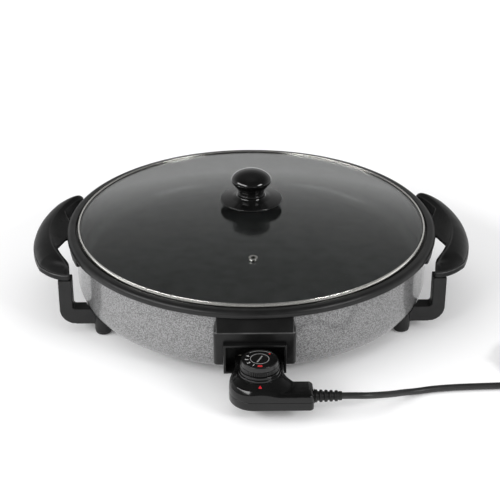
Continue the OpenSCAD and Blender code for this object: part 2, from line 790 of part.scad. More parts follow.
module controller_top() {
    color(BLACK) on_pan() difference() {
        union() {
            difference() {
                union() {
                    shell_prism(split_z, arm_top, 0);
                    translate([0, 0, split_z]) linear_extrude(hump_top - split_z) main_plan(0);
                    block([-neck_left, -frame_front - 1, neck_bottom], [neck_right, -neck_end, hump_top]);
                    translate([dial_x, -dial_y, hump_top - 1]) {
                        cylinder(d = step_d + 3, h = step_h + 1);
                        cylinder(d = step_d, h = 2 * step_h + 1);
                    }
                }
                translate([-wide / 2, 0, 0]) rotate([90, 0, 90]) linear_extrude(wide)
                    polygon([[-ctrl_front, arm_top], [-ctrl_front + slope_depth, hump_top],
                        [-ctrl_front + slope_depth, hump_top + 0.01], [-ctrl_front - 1, hump_top + 0.01],
                        [-ctrl_front - 1, arm_top]]);
                shell_prism(split_z - 1, low_ceiling, shell_t);
                block([-neck_left + shell_t, -ctrl_front + slope_depth + shell_t, split_z + 1],
                    [ctrl_right - shell_t, -frame_front - shell_t, high_ceiling]);
                block([-neck_left + shell_t, -frame_front - shell_t - 1, neck_bottom + 1.4],
                    [neck_right - shell_t, -neck_end - shell_t, high_ceiling]);
            }
            for (b = shell_bosses) translate([b.x, -b.y, split_z]) cylinder(d = boss_d, h = b.z - split_z);
        }
        for (b = shell_bosses) translate([b.x, -b.y, 0])
            cylinder(d = small_screw_d + 2 * thread_gap, h = b.z - shell_t);
        translate([dial_x, -dial_y, split_z]) cylinder(d = spindle_d + 2 * run_gap, h = rim_h);
        at_terminals() along_y([0, -neck_end - shell_t - 1, 0], terminal_d / 2 + 2 * slide_gap, shell_t + 2);
        along_y([0, -neck_end - shell_t - 1, socket_z], probe_d / 2 + thread_gap, shell_t + 2);
        boot_hole();
        lens_prism(fit_gap);
    }
}

clamp_x = arm_right - 14;
clamp_pitch = 15;
post_d = 5;

module at_clamp_screws() {
    for (s = [-1, 1]) translate([clamp_x, -arm_y + s * clamp_pitch / 2, 0]) children();
}

module controller_base() {
    color(BLACK) on_pan() difference() {
        union() {
            difference() {
                shell_prism(ctrl_z, split_z - fit_gap / 2, 0);
                shell_prism(base_floor, split_z + 1, shell_t);
            }
            for (b = shell_bosses) translate([b.x, -b.y, base_floor - 0.5])
                cylinder(d = boss_d, h = split_z - fit_gap / 2 - base_floor + 0.5);
            at_clamp_screws() translate([0, 0, base_floor - 0.5])
                cylinder(d = post_d, h = boot_z + cord_d / 2 - base_floor + 0.5);
        }
        for (b = shell_bosses) translate([b.x, -b.y, 0]) {
            cylinder(d = small_screw_d + 0.3, h = rim_h);
            cylinder(d = small_head_d + 0.4, h = base_floor + 2);
        }
        at_clamp_screws() translate([0, 0, base_floor])
            cylinder(d = small_screw_d + 2 * thread_gap, h = rim_h);
        boot_hole();
    }
}

module controller_screws() {
    color(STEEL) on_pan() for (b = shell_bosses) translate([b.x, -b.y, base_floor + 2])
        screw(small_screw_d, b.z - shell_t - 1 - base_floor - 2, small_head_d, small_head_h);
}

dial_wall = 2.5;
dial_cap = 3;
hub_d = spindle_d + 5;
clip_t = 1.2;
clip_z = high_ceiling - slide_gap - clip_t;
leaf_t = 0.6;
switch_h = 9;
switch_top = base_floor + switch_h;

module dial() {
    edge_r = 1;
    color("#232324") on_pan() translate([dial_x, -dial_y, 0]) difference() {
        rotate_extrude() polygon(concat([[0, dial_z], [dial_d / 2, dial_z]],
            arc([dial_d / 2 - edge_r - 0.6, dial_top - edge_r], edge_r, 0, 90, 4), [[0, dial_top]]));
        translate([0, 0, dial_z - 1]) difference() {
            cylinder(r = dial_d / 2 - dial_wall, h = dial_h - dial_cap + 1);
            cylinder(d = hub_d, h = dial_h);
        }
        translate([0, 0, dial_z - 1]) cylinder(d = spindle_d + 2 * thread_gap, h = dial_h - dial_cap + 1);
    }
}

module dial_spindle() {
    tip_d = 3;
    tip_z = switch_top + leaf_t + slide_gap;
    color(STEEL) on_pan() translate([dial_x, -dial_y, 0]) {
        translate([0, 0, tip_z + 3]) cylinder(d = spindle_d, h = dial_top - dial_cap - fit_gap - tip_z - 3);
        translate([0, 0, tip_z]) cylinder(d = tip_d, h = 4);
    }
}

module spindle_clip() {
    color(STEEL) on_pan() translate([dial_x, -dial_y, clip_z]) difference() {
        cylinder(d = spindle_d + 5, h = clip_t);
        translate([0, 0, -1]) cylinder(d = spindle_d + 2 * thread_gap, h = clip_t + 2);
    }
}

module probe_tube() {
    tail = 6;
    color(STEEL) on_pan() {
        along_y([0, -neck_end - tail, socket_z], probe_d / 2, probe_l + tail);
        translate([0, -neck_end + probe_l, socket_z]) sphere(d = probe_d);
    }
}

module contact_sockets() {
    length = 14;
    color(BRASS) on_pan() at_terminals() difference() {
        along_y([0, -neck_end - shell_t - length, 0], contact_d / 2, length);
        along_y([0, -neck_end - shell_t - length + 1, 0], terminal_d / 2 + slide_gap, length);
    }
}

module thermostat_switch() {
    size = [26, 20];
    color("#d9d2c0") on_pan() translate([dial_x - size.x / 2, -dial_y - size.y / 2, base_floor])
        cube([size.x, size.y, switch_h]);
}

module switch_leaf() {
    size = [22, 6];
    color(BRASS) on_pan() translate([dial_x - size.x / 2, -dial_y - size.y / 2, switch_top])
        cube([size.x, size.y, leaf_t]);
}

module pilot_lens() { color("#c8201e") on_pan() lens_prism(0); }

module pilot_lamp() {
    lamp_d = 4.4;
    length = 12;
    color("#e8a070") on_pan() translate([dial_x - length / 2, -ctrl_front + shell_t + lamp_d / 2 + 1, 0]) {
        translate([0, 0, low_ceiling - lamp_d / 2 - 1.6]) rotate([0, 90, 0]) cylinder(d = lamp_d, h = length);
        block([1, -0.6, base_floor - 0], [3, 0.6, low_ceiling - lamp_d / 2 - 1.6]);
    }
}

clamp_z = boot_z + cord_d / 2 + fit_gap;
clamp_t = 2;

module cord_clamp() {
    width = 6;
    color(STEEL) on_pan() difference() {
        block([clamp_x - width / 2, -arm_y - clamp_pitch / 2 - 3, clamp_z],
            [clamp_x + width / 2, -arm_y + clamp_pitch / 2 + 3, clamp_z + clamp_t]);
        at_clamp_screws() cylinder(d = small_screw_d + 0.3, h = rim_h);
    }
}

module clamp_screws() {
    color(STEEL) on_pan() at_clamp_screws() translate([0, 0, clamp_z + clamp_t]) mirror([0, 0, 1])
        screw(small_screw_d, clamp_z + clamp_t - base_floor - 1, small_head_d, small_head_h);
}

boot_neck_d = 10.6;
boot_end_d = 9.4;
boot_end = arm_right + boot_l;

// Strain relief: an inner tail for the clamp, a flange behind the wall, a neck in it and ribs outside
module strain_relief() {
    collar_d = 2 * (low_ceiling - boot_z) - 4 * fit_gap;
    wall_in = arm_right - shell_t - fit_gap;
    start = arm_right + fit_gap;
    step = (boot_l - 3) / boot_ribs;
    taper = 0.5;
    section = concat(
        [[0, clamp_x - 5], [cord_d / 2, clamp_x - 5], [cord_d / 2, wall_in - 3], [collar_d / 2, wall_in - 3],
            [collar_d / 2, wall_in], [boot_neck_d / 2, wall_in], [boot_neck_d / 2, start]],
        [for (i = [0:boot_ribs - 1], p = [[0, 0], [0, 0.62], [-1.5, 0.7], [-1.5, 0.92]])
            [boot_d / 2 - taper * i * 0.5 + p.x, start + step * (i + p.y)]],
        [[boot_end_d / 2, boot_end - 3], [boot_end_d / 2, boot_end], [0, boot_end]]);
    color("#232323") on_pan() translate([0, -arm_y, boot_z]) rotate([0, 90, 0]) rotate_extrude()
        polygon(section);
}

// Cord

cord_r = cord_d / 2;
boot_tip = [boot_end, pan_y - arm_y, boot_z];
tie_t = 0.9;
coil_z = cord_r + tie_t + slide_gap;
coil_middle = [322, -137];
coil_start = [coil_middle.x - cord_d, coil_middle.y - coil_r, coil_z];
coil_end = [coil_middle.x + coil_r, coil_middle.y + cord_d, coil_z + coil_pitch];
plug_z = plug_d / 2;
plug_back = [coil_end.x, -80, plug_z];

// Free run from the strain relief, down to the table and along it to the coil
run_route = [[100, -229.5, 24], [114, -227.5, 22.5], [128, -220.5, 18.5], [142, -210.5, 13],
    [156, -200, 7.8], [170, -193, 4.6], [186, -188.5, 4], [204, -186, 4], [224, -184.5, 4],
    [244, -183.5, 4], [264, -183, 4.2], [284, -183, 4.6]];
// Short tail from the coil up to the plug
tail_route = [[368, -122, 12.5], [368, -112, 13.4], [368, -100, 16.5], [368, -90, 18.6]];

function unit(v) = v / norm(v);
function heading(path, i) =
    unit(path[min(i + 1, len(path) - 1)] - path[max(i - 1, 0)]);

// One tube along a path, with the given number of sides and flat ends
module tube(path, r, sides) {
    n = len(path);
    rings = [for (i = [0:n - 1])
        let (h = i == 0 || i == n - 1 ? square_end(path, i) : heading(path, i),
            side = unit(cross(h, [0, 0, 1])), up = cross(side, h))
        for (k = [0:sides - 1]) let (a = 360 * (k + 0.5) / sides)
            path[i] + r * (cos(a) * side + sin(a) * up)];
    walls = [for (i = [0:n - 2], k = [0:sides - 1]) let (a = i * sides + k, b = i * sides + (k + 1) % sides)
        each [[a, b, a + sides], [b, b + sides, a + sides]]];
    caps = [for (k = [1:sides - 2]) each [[0, k + 1, k],
        [(n - 1) * sides, (n - 1) * sides + k, (n - 1) * sides + k + 1]]];
    polyhedron(points = rings, faces = concat(walls, caps), convexity = 8);
}

// The axis along which a path's end meets its neighbour: the nearest row axis
function square_end(path, i) =
    let (h = heading(path, i)) abs(h.x) > abs(h.y) ? [sign(h.x), 0, 0] : [0, sign(h.y), 0];

run_path = concat([boot_tip], run_route, [coil_start]);
tail_path = concat([coil_end], tail_route, [plug_back]);

// Coil: spirals in on the table, climbs a layer over the half turn where it reverses, spirals out on top
coil_steps = 24;
function ease(u) = let (c = min(max(u, 0), 1)) c * c * (3 - 2 * c);
function coil_point(t) =
    let (r = coil_r - coil_pitch * min(t, coil_turns - t), a = -90 + 360 * t,
        z = coil_z + coil_pitch * ease((t - coil_turns / 2 + 0.25) / 0.5))
    [coil_middle.x + r * cos(a), coil_middle.y + r * sin(a), z];
coil_path = concat([coil_start],
    [for (i = [0:coil_turns * coil_steps]) coil_point(i / coil_steps)], [coil_end]);

// Least gap of the coil to itself, between points over a third of a turn apart
coil_gap = min([for (i = [0:len(coil_path) - 1], j = [i + 8:1:len(coil_path) - 1])
    norm(coil_path[i] - coil_path[j])]) - cord_d;
function path_length(p) = let (steps = [for (i = [1:len(p) - 1]) norm(p[i] - p[i - 1])])
    steps * [for (s = steps) 1];
echo(least_gap_of_coil = coil_gap);
echo(cord_length = path_length(run_path) + path_length(coil_path) + path_length(tail_path));

module cord_run() { color("#2a2a2b") tube(run_path, cord_r, 10); }
module cord_coil() { color("#2a2a2b") tube(coil_path, cord_r, 6); }
module cord_tail() { color("#2a2a2b") tube(tail_path, cord_r, 10); }

// A flat strap round the coil's bundle, on the side away from the plug
module coil_tie() {
    width = 8;
    inner = coil_r - coil_pitch * (coil_turns / 2 - 0.375) - cord_r - slide_gap;
    outer = coil_r - coil_pitch * 0.5 + cord_r + slide_gap;
    height = coil_pitch + cord_d + 2 * slide_gap;
    color("#202020") translate([coil_middle.x, coil_middle.y, 0]) difference() {
        block([-outer - tie_t, -width / 2, 0], [-inner + tie_t, width / 2, height + 2 * tie_t]);
        block([-outer, -width, tie_t], [-inner, width, height + tie_t]);
    }
}

// Plug

plug_boot_l = 18;
plug_body_y = plug_back.y + plug_boot_l;
plug_face = plug_body_y + plug_l;
pin_depth = 14;
root_d = pin_d - 0.8;
clip_l = 13;
clip_w = 10;
earth_t = 1;

module at_plug_pins() {
    for (s = [-1, 1]) translate([plug_back.x + s * pin_pitch / 2, 0, plug_z]) children();
}

// One earth clip at the plug's top or bottom, grown by gap
module earth_clip(s, gap) {
    z = plug_z + s * (plug_d / 2 - 1.5 - earth_t / 2);
    block([plug_back.x - clip_w / 2 - gap, plug_face - clip_l - gap, z - earth_t / 2 - gap],
        [plug_back.x + clip_w / 2 + gap, plug_face + 2 * gap, z + earth_t / 2 + gap]);
}

module plug_body() {
    color("#222223") difference() {
        translate([plug_back.x, plug_back.y, plug_z]) rotate([-90, 0, 0]) rotate_extrude()
            polygon([[0, 0], [cord_r + 1.5, 0], [cord_r + 5, plug_boot_l], [plug_d / 2 - 5, plug_boot_l + 1],
                [plug_d / 2, plug_boot_l + 9], [plug_d / 2, plug_boot_l + plug_l],
                [0, plug_boot_l + plug_l]]);
        at_plug_pins() along_y([0, plug_face - pin_depth, 0], root_d / 2 + thread_gap, pin_depth + 1);
        for (s = [-1, 1]) earth_clip(s, fit_gap);
    }
}

module plug_pins() {
    color(STEEL) at_plug_pins() {
        along_y([0, plug_face - pin_depth + 0.5, 0], root_d / 2, pin_depth);
        along_y([0, plug_face, 0], pin_d / 2, pin_l);
    }
}

module plug_earth_clips() { color(BRASS) for (s = [-1, 1]) earth_clip(s, 0); }

pan();
heating_element();
terminal_pins();
terminal_insulators();
socket_hood();
socket_frame();
hood_screws();
left_handle();
right_handle();
left_handle_base();
right_handle_base();
handle_screws();
base_screws();
front_left_leg();
front_right_leg();
rear_left_leg();
rear_right_leg();
leg_screws();
foot_screws();
foot_pads();
lid_glass();
lid_ring();
vent_eyelet();
lid_knob();
knob_guard();
knob_screw();
knob_washer();
knob_insert();
controller_top();
controller_base();
controller_screws();
dial();
dial_spindle();
spindle_clip();
probe_tube();
contact_sockets();
thermostat_switch();
switch_leaf();
pilot_lens();
pilot_lamp();
cord_clamp();
clamp_screws();
strain_relief();
cord_run();
cord_coil();
cord_tail();
coil_tie();
plug_body();
plug_pins();
plug_earth_clips();
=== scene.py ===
"""Looks of a round electric skillet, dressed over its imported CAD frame.

Lengths are millimetres in the row frame unless a name says otherwise. A plan that is drawn round the pan
has the pan's axis as its origin.
"""

import logging
import math
from collections.abc import Sequence
from dataclasses import dataclass, field
from enum import Enum, IntEnum

import bmesh
import bpy
from mathutils import Matrix, Vector


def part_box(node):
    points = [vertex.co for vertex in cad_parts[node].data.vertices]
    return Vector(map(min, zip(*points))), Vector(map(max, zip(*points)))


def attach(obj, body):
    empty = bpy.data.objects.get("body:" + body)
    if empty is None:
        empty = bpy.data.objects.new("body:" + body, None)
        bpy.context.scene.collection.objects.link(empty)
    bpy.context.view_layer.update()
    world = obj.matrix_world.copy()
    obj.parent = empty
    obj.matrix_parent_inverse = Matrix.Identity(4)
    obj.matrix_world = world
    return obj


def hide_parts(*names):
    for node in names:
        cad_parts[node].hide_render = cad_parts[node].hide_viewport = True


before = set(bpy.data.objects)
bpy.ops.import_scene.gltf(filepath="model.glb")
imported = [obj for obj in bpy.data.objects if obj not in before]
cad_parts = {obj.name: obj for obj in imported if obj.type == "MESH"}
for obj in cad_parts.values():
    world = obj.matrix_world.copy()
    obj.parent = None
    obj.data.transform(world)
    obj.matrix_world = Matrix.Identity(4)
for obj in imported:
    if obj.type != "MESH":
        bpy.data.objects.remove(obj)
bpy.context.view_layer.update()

LOG = logging.getLogger("skillet")
MM = 0.001

# Half of a corner's angle, above which the corner needs no fillet
STRAIGHT = math.radians(89.5)
# Least share of an inset that counts at a sharp corner
LEAST_REACH = 0.4
# Steps of an edge rounding, and the radius below which it has fewer
ROUND_STEPS = 6
SMALL_ROUND_STEPS = 3
SMALL_ROUND = 0.7
# Distance within which points are one, and angles above which an edge stays sharp
WELD = 0.002
CREASE = 35.0
MOULD_CREASE = 80.0
# Strength of one smoothing pass
EASE = 0.5
# Ends between which noise mostly lies, and how many finer octaves it has
NOISE_SPAN = (0.3, 0.7)
PLAIN_DETAIL = 3.0
FINE_DETAIL = 4.0
FULL_DETAIL = 5.0
# How far cells run into each other, and the edge sharpness at which the painted edge highlight starts and is
# full
CELL_SOFTNESS = 0.4
HIGHLIGHT_EDGE_SPAN = (0.505, 0.53)

Point2 = tuple[float, float]
Point3 = tuple[float, float, float]
Corner = tuple[float, float, float]
Colour = tuple[float, float, float]
Span = tuple[float, float]
Loop = Sequence[Sequence[float]]
Port = bpy.types.NodeSocket
Value = float | bpy.types.NodeSocket


class Body(str, Enum):
    """Bodies of the frame that pieces ride on."""

    PAN = "pan_base"
    LID = "lid"
    CONTROLLER = "controller"
    DIAL = "dial_knob"


class Side(Enum):
    """Left and right of the pan, as the sign of X."""

    LEFT = -1
    RIGHT = 1


class Joining(Enum):
    """Ways to join one solid to another."""

    ADD = "UNION"
    CUT = "DIFFERENCE"


class PanSkin(IntEnum):
    """Marks of the pan's faces, in the order of its finishes."""

    WALL = 0
    RIM = 1
    INSIDE = 2
    UNDERSIDE = 3


class Mould(IntEnum):
    """Marks of a moulding's faces, in the order of its finishes."""

    PLAIN = 0
    # Faces along an edge that are painted lighter: a painted highlight.
    RUBBED = 1


def middle(node: str) -> Vector:
    """Gives the middle of a CAD node's box, in millimetres."""
    low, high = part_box(node)
    return (low + high) / (2 * MM)


PAN_Y = middle("pan").y


# Outlines


def arc(centre: Point2, radius: float, start: float, end: float, steps: int) -> list[Point2]:
    """Gives points along an arc between two angles in degrees, both ends included."""
    angles = [math.radians(start + (end - start) * i / steps) for i in range(steps + 1)]
    return [(centre[0] + radius * math.cos(a), centre[1] + radius * math.sin(a)) for a in angles]


def circle(centre: Point2, radius: float, sides: int) -> list[Point2]:
    """Gives the points of a circle, counter-clockwise."""
    return arc(centre, radius, 0, 360, sides)[:-1]


def rectangle(half: float, near: float, far: float) -> list[Point2]:
    """Gives the corners of a rectangle that has the Y axis in its middle."""
    return [(-half, near), (half, near), (half, far), (-half, far)]


def level(outline: Sequence[Point2], height: float) -> list[Point3]:
    """Lays an outline at a height."""
    return [(x, y, height) for x, y in outline]


def round_steps(radius: float) -> int:
    """Gives the number of steps in an edge rounding."""
    return 0 if radius <= 0 else SMALL_ROUND_STEPS if radius < SMALL_ROUND else ROUND_STEPS


def filleted(corners: Sequence[Corner], steps: int = 6, closed: bool = False) -> list[Point2]:
    """Turns corner points into an outline with rounded corners.

    Args:
        corners: Place and fillet radius of each corner.
        steps: Steps in each fillet.
        closed: Whether the last corner joins the first.

    Returns:
        The outline's points.
    """
    outline: list[Point2] = []
    count = len(corners)
    for i, (u, v, radius) in enumerate(corners):
        at_end = not closed and i in (0, count - 1)
        if radius <= 0 or at_end:
            outline.append((u, v))
            continue
        here = Vector((u, v))
        back = Vector(corners[i - 1][:2]) - here
        ahead = Vector(corners[(i + 1) % count][:2]) - here
        half = back.angle(ahead) / 2
        if half > STRAIGHT:
            outline.append((u, v))
            continue
        centre = here + (back.normalized() + ahead.normalized()).normalized() * radius / math.sin(half)
        first = here + back.normalized() * radius / math.tan(half) - centre
        last = here + ahead.normalized() * radius / math.tan(half) - centre
        turn = first.angle_signed(last)
        for k in range(steps + 1):
            spoke = first.copy()
            spoke.rotate(Matrix.Rotation(-turn * k / steps, 2))
            outline.append(tuple(centre + spoke))
    return outline


def drawn_in(outline: Sequence[Point2], inset: float) -> list[Point2]:
    """Moves a closed outline inwards by an even distance.

    Args:
        outline: Points of the outline, counter-clockwise.
        inset: Distance to move, in the outline's units.

    Returns:
        The moved points, as many as before.
    """
    moved: list[Point2] = []
    count = len(outline)
    for i, point in enumerate(outline):
        here = Vector(point)
        back = (here - Vector(outline[i - 1])).normalized()
        ahead = (Vector(outline[(i + 1) % count]) - here).normalized()
        normal = Vector((-back.y - ahead.y, back.x + ahead.x)).normalized()
        reach = max(LEAST_REACH, normal.dot(Vector((-back.y, back.x))))
        moved.append(tuple(here + normal * inset / reach))
    return moved


def divided(outline: Sequence[Point2], step: float) -> list[Point2]:
    """Adds points along a closed outline's long sides.

    Args:
        outline: Points of the outline.
        step: Longest side that stays whole.

    Returns:
        The outline's points with the new ones between them.
    """
    fine: list[Point2] = []
    for i, point in enumerate(outline):
        here, ahead = Vector(point), Vector(outline[(i + 1) % len(outline)])
        count = max(1, math.ceil((ahead - here).length / step))
        fine += [tuple(here.lerp(ahead, k / count)) for k in range(count)]
    return fine


# Meshes


class MeshSketch:
    """Points and faces of one piece, gathered in millimetres."""

    def __init__(self, place: Matrix | None = None) -> None:
        """Starts an empty sketch.

        Args:
            place: Where the sketch's own origin lies in the row frame, in millimetres.
        """
        self.place = place or Matrix.Translation((0, PAN_Y, 0))
        self.points: list[Vector] = []
        self.faces: list[tuple[int, ...]] = []
        self.marks: list[int] = []

    def add(self, loop: Loop) -> list[int]:
        """Adds points.

        Args:
            loop: The points, in the sketch's own place.

        Returns:
            Their numbers.
        """
        start = len(self.points)
        self.points.extend(self.place @ Vector(p) for p in loop)
        return list(range(start, len(self.points)))

    def face(self, ids: Sequence[int], mark: int = 0) -> None:
        """Adds one face, and drops repeated corners.

        Args:
            ids: Numbers of its points.
            mark: Number of its finish.
        """
        corners = [p for i, p in enumerate(ids) if p != ids[i - 1]]
        if len(set(corners)) >= 3:
            self.faces.append(tuple(corners))
            self.marks.append(mark)

    def stack(self, loops: Sequence[Loop], around: bool = True, along: bool = False,
              marks: Sequence[int] | None = None) -> list[list[int]]:
        """Skins a run of loops, one to the next.

        Args:
            loops: Loops of one length, or of a single point for a pole.
            around: Whether each loop closes on itself.
            along: Whether the last loop joins the first.
            marks: Number of the finish of each strip between two loops.

        Returns:
            The numbers of each loop's points.
        """
        width = max(len(loop) for loop in loops)
        rows = [ids * width if len(ids) == 1 else ids for ids in (self.add(loop) for loop in loops)]
        following = rows[1:] + rows[:1] if along else rows[1:]
        for k, (low, high) in enumerate(zip(rows, following)):
            for i in range(width if around else width - 1):
                j = (i + 1) % width
                self.face((low[i], low[j], high[j], high[i]), marks[k] if marks else 0)
        return rows

    def lathe(self, profile: Sequence[Point2], segments: int, marks: Sequence[int] | None = None) -> None:
        """Turns a profile round the sketch's Z axis.

        Args:
            profile: Radius and height of each point. A radius of 0 is a pole.
            segments: Number of sides.
            marks: Number of the finish of each stretch of the profile.
        """
        loops = []
        for radius, height in profile:
            loops.append(level(circle((0, 0), radius, segments if radius > 0 else 1), height))
        self.stack(loops, marks=marks)

    def swept(self, profile: Sequence[Point2], start: float, end: float, steps: int,
              mark: int = 0) -> None:
        """Sweeps a closed profile round the sketch's Z axis, all round or between two angles.

        Args:
            profile: Radius and height of each point.
            start: First angle in degrees.
            end: Last angle in degrees.
            steps: Number of steps between them.
            mark: Number of the finish.
        """
        whole = abs(end - start) >= 360
        loops = []
        for radius, height in profile:
            path = arc((0, 0), radius, start, end, steps)
            loops.append(level(path[:-1] if whole else path, height))
        rows = self.stack(loops, around=whole, along=True, marks=[mark] * len(loops))
        if not whole:
            for end_point in (0, -1):
                self.face([row[end_point] for row in rows], mark)

    def capped(self, loops: Sequence[Loop], marks: Sequence[int] | None = None) -> None:
        """Skins a run of loops and closes both ends.

        Args:
            loops: Loops of one length.
            marks: Number of the finish of each strip between two loops.
        """
        rows = self.stack(loops, marks=marks)
        self.face(rows[0][::-1])
        self.face(rows[-1])

    def prism(self, outline: Sequence[Point2], low: float, high: float, low_round: float = 0.0,
              high_round: float = 0.0, marks: Sequence[int] | None = None) -> None:
        """Raises an outline into a block with rounded lower and upper edges.

        Args:
            outline: Plan of the block, counter-clockwise.
            low: Height of its underside.
            high: Height of its top.
            low_round: Radius of the lower edge.
            high_round: Radius of the upper edge.
            marks: Number of the finish of each strip from the underside to the top.
        """
        levels: list[Point2] = []
        for radius, height, way in ((low_round, low, -1), (high_round, high, 1)):
            steps = round_steps(radius)
            for i in range(steps + 1):
                a = math.pi / 2 * (i if way > 0 else steps - i) / max(steps, 1)
                levels.append((radius * (1 - math.cos(a)), height - way * radius * (1 - math.sin(a))))
        self.capped([level(drawn_in(outline, inset), height) for inset, height in levels], marks)

    def piece(self, name: str, crease: float = CREASE) -> bpy.types.Object:
        """Makes the object.

        Args:
            name: Name of the piece.
            crease: Angle in degrees above which an edge stays sharp.

        Returns:
            The new object, at the row frame's origin.
        """
        mesh = bpy.data.meshes.new(name)
        mesh.from_pydata([p * MM for p in self.points], [], self.faces)
        mesh.polygons.foreach_set("material_index", self.marks)
        return placed(name, tidied(mesh, crease))


def tidied(mesh: bpy.types.Mesh, crease: float = CREASE) -> bpy.types.Mesh:
    """Joins doubled points, turns faces outwards and sets the shading.

    Args:
        mesh: The mesh to tidy.
        crease: Angle in degrees above which an edge stays sharp.

    Returns:
        The same mesh.
    """
    work = bmesh.new()
    work.from_mesh(mesh)
    bmesh.ops.remove_doubles(work, verts=work.verts, dist=WELD * MM)
    bmesh.ops.recalc_face_normals(work, faces=work.faces)
    work.to_mesh(mesh)
    work.free()
    mesh.shade_smooth()
    mesh.set_sharp_from_angle(angle=math.radians(crease))
    return mesh


def placed(name: str, mesh: bpy.types.Mesh) -> bpy.types.Object:
    """Links a mesh into the scene as an object at the origin.

    Args:
        name: Name of the object.
        mesh: Its mesh.

    Returns:
        The object.
    """
    piece = bpy.data.objects.new(name, mesh)
    bpy.context.scene.collection.objects.link(piece)
    return piece


def settled(piece: bpy.types.Object, crease: float = CREASE) -> bpy.types.Object:
    """Applies a piece's modifiers to its mesh.

    Args:
        piece: The piece.
        crease: Angle in degrees above which an edge stays sharp.

    Returns:
        The same piece, with no modifiers left.
    """
    graph = bpy.context.evaluated_depsgraph_get()
    mesh = bpy.data.meshes.new_from_object(piece.evaluated_get(graph))
    piece.modifiers.clear()
    old = piece.data
    piece.data = tidied(mesh, crease)
    bpy.data.meshes.remove(old)
    return piece


def moulded(piece: bpy.types.Object, grid: float, passes: int) -> bpy.types.Object:
    """Joins a piece's solids into one skin and eases its edges as a mould does.

    Args:
        piece: The piece, of closed solids that may overlap.
        grid: Size of the new skin's faces.
        passes: How often the skin is smoothed.

    Returns:
        The same piece.
    """
    remesh = piece.modifiers.new("skin", "REMESH")
    remesh.mode = "VOXEL"
    remesh.voxel_size = grid * MM
    ease = piece.modifiers.new("ease", "SMOOTH")
    ease.factor = EASE
    ease.iterations = passes
    return settled(piece, MOULD_CREASE)


def bevelled(piece: bpy.types.Object, width: float, segments: int, limit: float,
             crease: float = CREASE) -> bpy.types.Object:
    """Rounds a piece's edges.

    Args:
        piece: The piece.
        width: Width of the rounding.
        segments: Steps across it.
        limit: Angle in degrees above which an edge is rounded.
        crease: Angle in degrees above which an edge stays sharp afterwards.

    Returns:
        The same piece.
    """
    edge = piece.modifiers.new("edge", "BEVEL")
    edge.width = width * MM
    edge.segments = segments
    edge.limit_method = "ANGLE"
    edge.angle_limit = math.radians(limit)
    return settled(piece, crease)


def copied(node: str, name: str) -> bpy.types.Object:
    """Copies a CAD node's mesh into a new object.

    Args:
        node: Name of the node.
        name: Name of the new object.

    Returns:
        The copy, with the node's shared points joined.
    """
    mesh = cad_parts[node].data.copy()
    mesh.materials.clear()
    return placed(name, tidied(mesh))


def joined(piece: bpy.types.Object, other: bpy.types.Object, joining: Joining) -> bpy.types.Object:
    """Adds another solid to a piece, or cuts it away.

    Args:
        piece: The piece that stays.
        other: The solid, which is used up.
        joining: Whether it is added or cut away.

    Returns:
        The piece.
    """
    step = piece.modifiers.new("join", "BOOLEAN")
    step.operation = joining.value
    step.solver = "EXACT"
    step.object = other
    settled(piece)
    bpy.data.objects.remove(other)
    return piece


# Finishes


class Graph:
    """The nodes of a material or of the world."""

    def __init__(self, tree: bpy.types.NodeTree) -> None:
        """Takes up a tree of nodes."""
        self.nodes = tree.nodes
        self.links = tree.links

    def node(self, kind: str, inputs: dict[str | int, object] | None = None,
             **settings: object) -> bpy.types.Node:
        """Adds a node.

        Args:
            kind: Type of the node, without its common prefix.
            inputs: Values or linked sockets by input name or number.
            settings: Properties of the node.

        Returns:
            The node.
        """
        made = self.nodes.new("ShaderNode" + kind)
        for key, value in settings.items():
            setattr(made, key, value)
        for key, value in (inputs or {}).items():
            if isinstance(value, Port):
                self.links.new(value, made.inputs[key])
            else:
                made.inputs[key].default_value = value
        return made

    def maths(self, operation: str, first: Value, second: Value) -> Port:
        """Works out one value from two."""
        return self.node("Math", {0: first, 1: second}, operation=operation).outputs[0]

    def spread(self, value: Port, low: Value, high: Value, span: Span = NOISE_SPAN) -> Port:
        """Spreads a value over a new range.

        Args:
            value: The value.
            low: What its low end becomes.
            high: What its high end becomes.
            span: Its low and its high end.

        Returns:
            The new value.
        """
        made = self.node("MapRange", {"Value": value, "From Min": span[0], "From Max": span[1],
                                      "To Min": low, "To Max": high})
        return made.outputs["Result"]

    def ramp(self, value: Port, stops: Sequence[tuple[float, Colour]]) -> Port:
        """Picks a colour by a value.

        Args:
            value: The value.
            stops: Values, from low to high, and the colour at each.

        Returns:
            The colour.
        """
        made = self.node("ValToRGB", {"Fac": value})
        elements = made.color_ramp.elements
        while len(elements) < len(stops):
            elements.new(1.0)
        for element, (place, colour) in zip(elements, stops):
            element.position = place
            element.color = (*colour, 1.0)
        return made.outputs["Color"]

    def seen(self) -> Port:
        """Tells what the camera, metal and glass see from what only lights.

        Returns:
            A value of 1 for a seen ray, and 0 for any other.
        """
        rays = self.node("LightPath").outputs
        either = self.maths("MAXIMUM", rays["Is Camera Ray"], rays["Is Glossy Ray"])
        return self.maths("MAXIMUM", either, rays["Is Transmission Ray"])


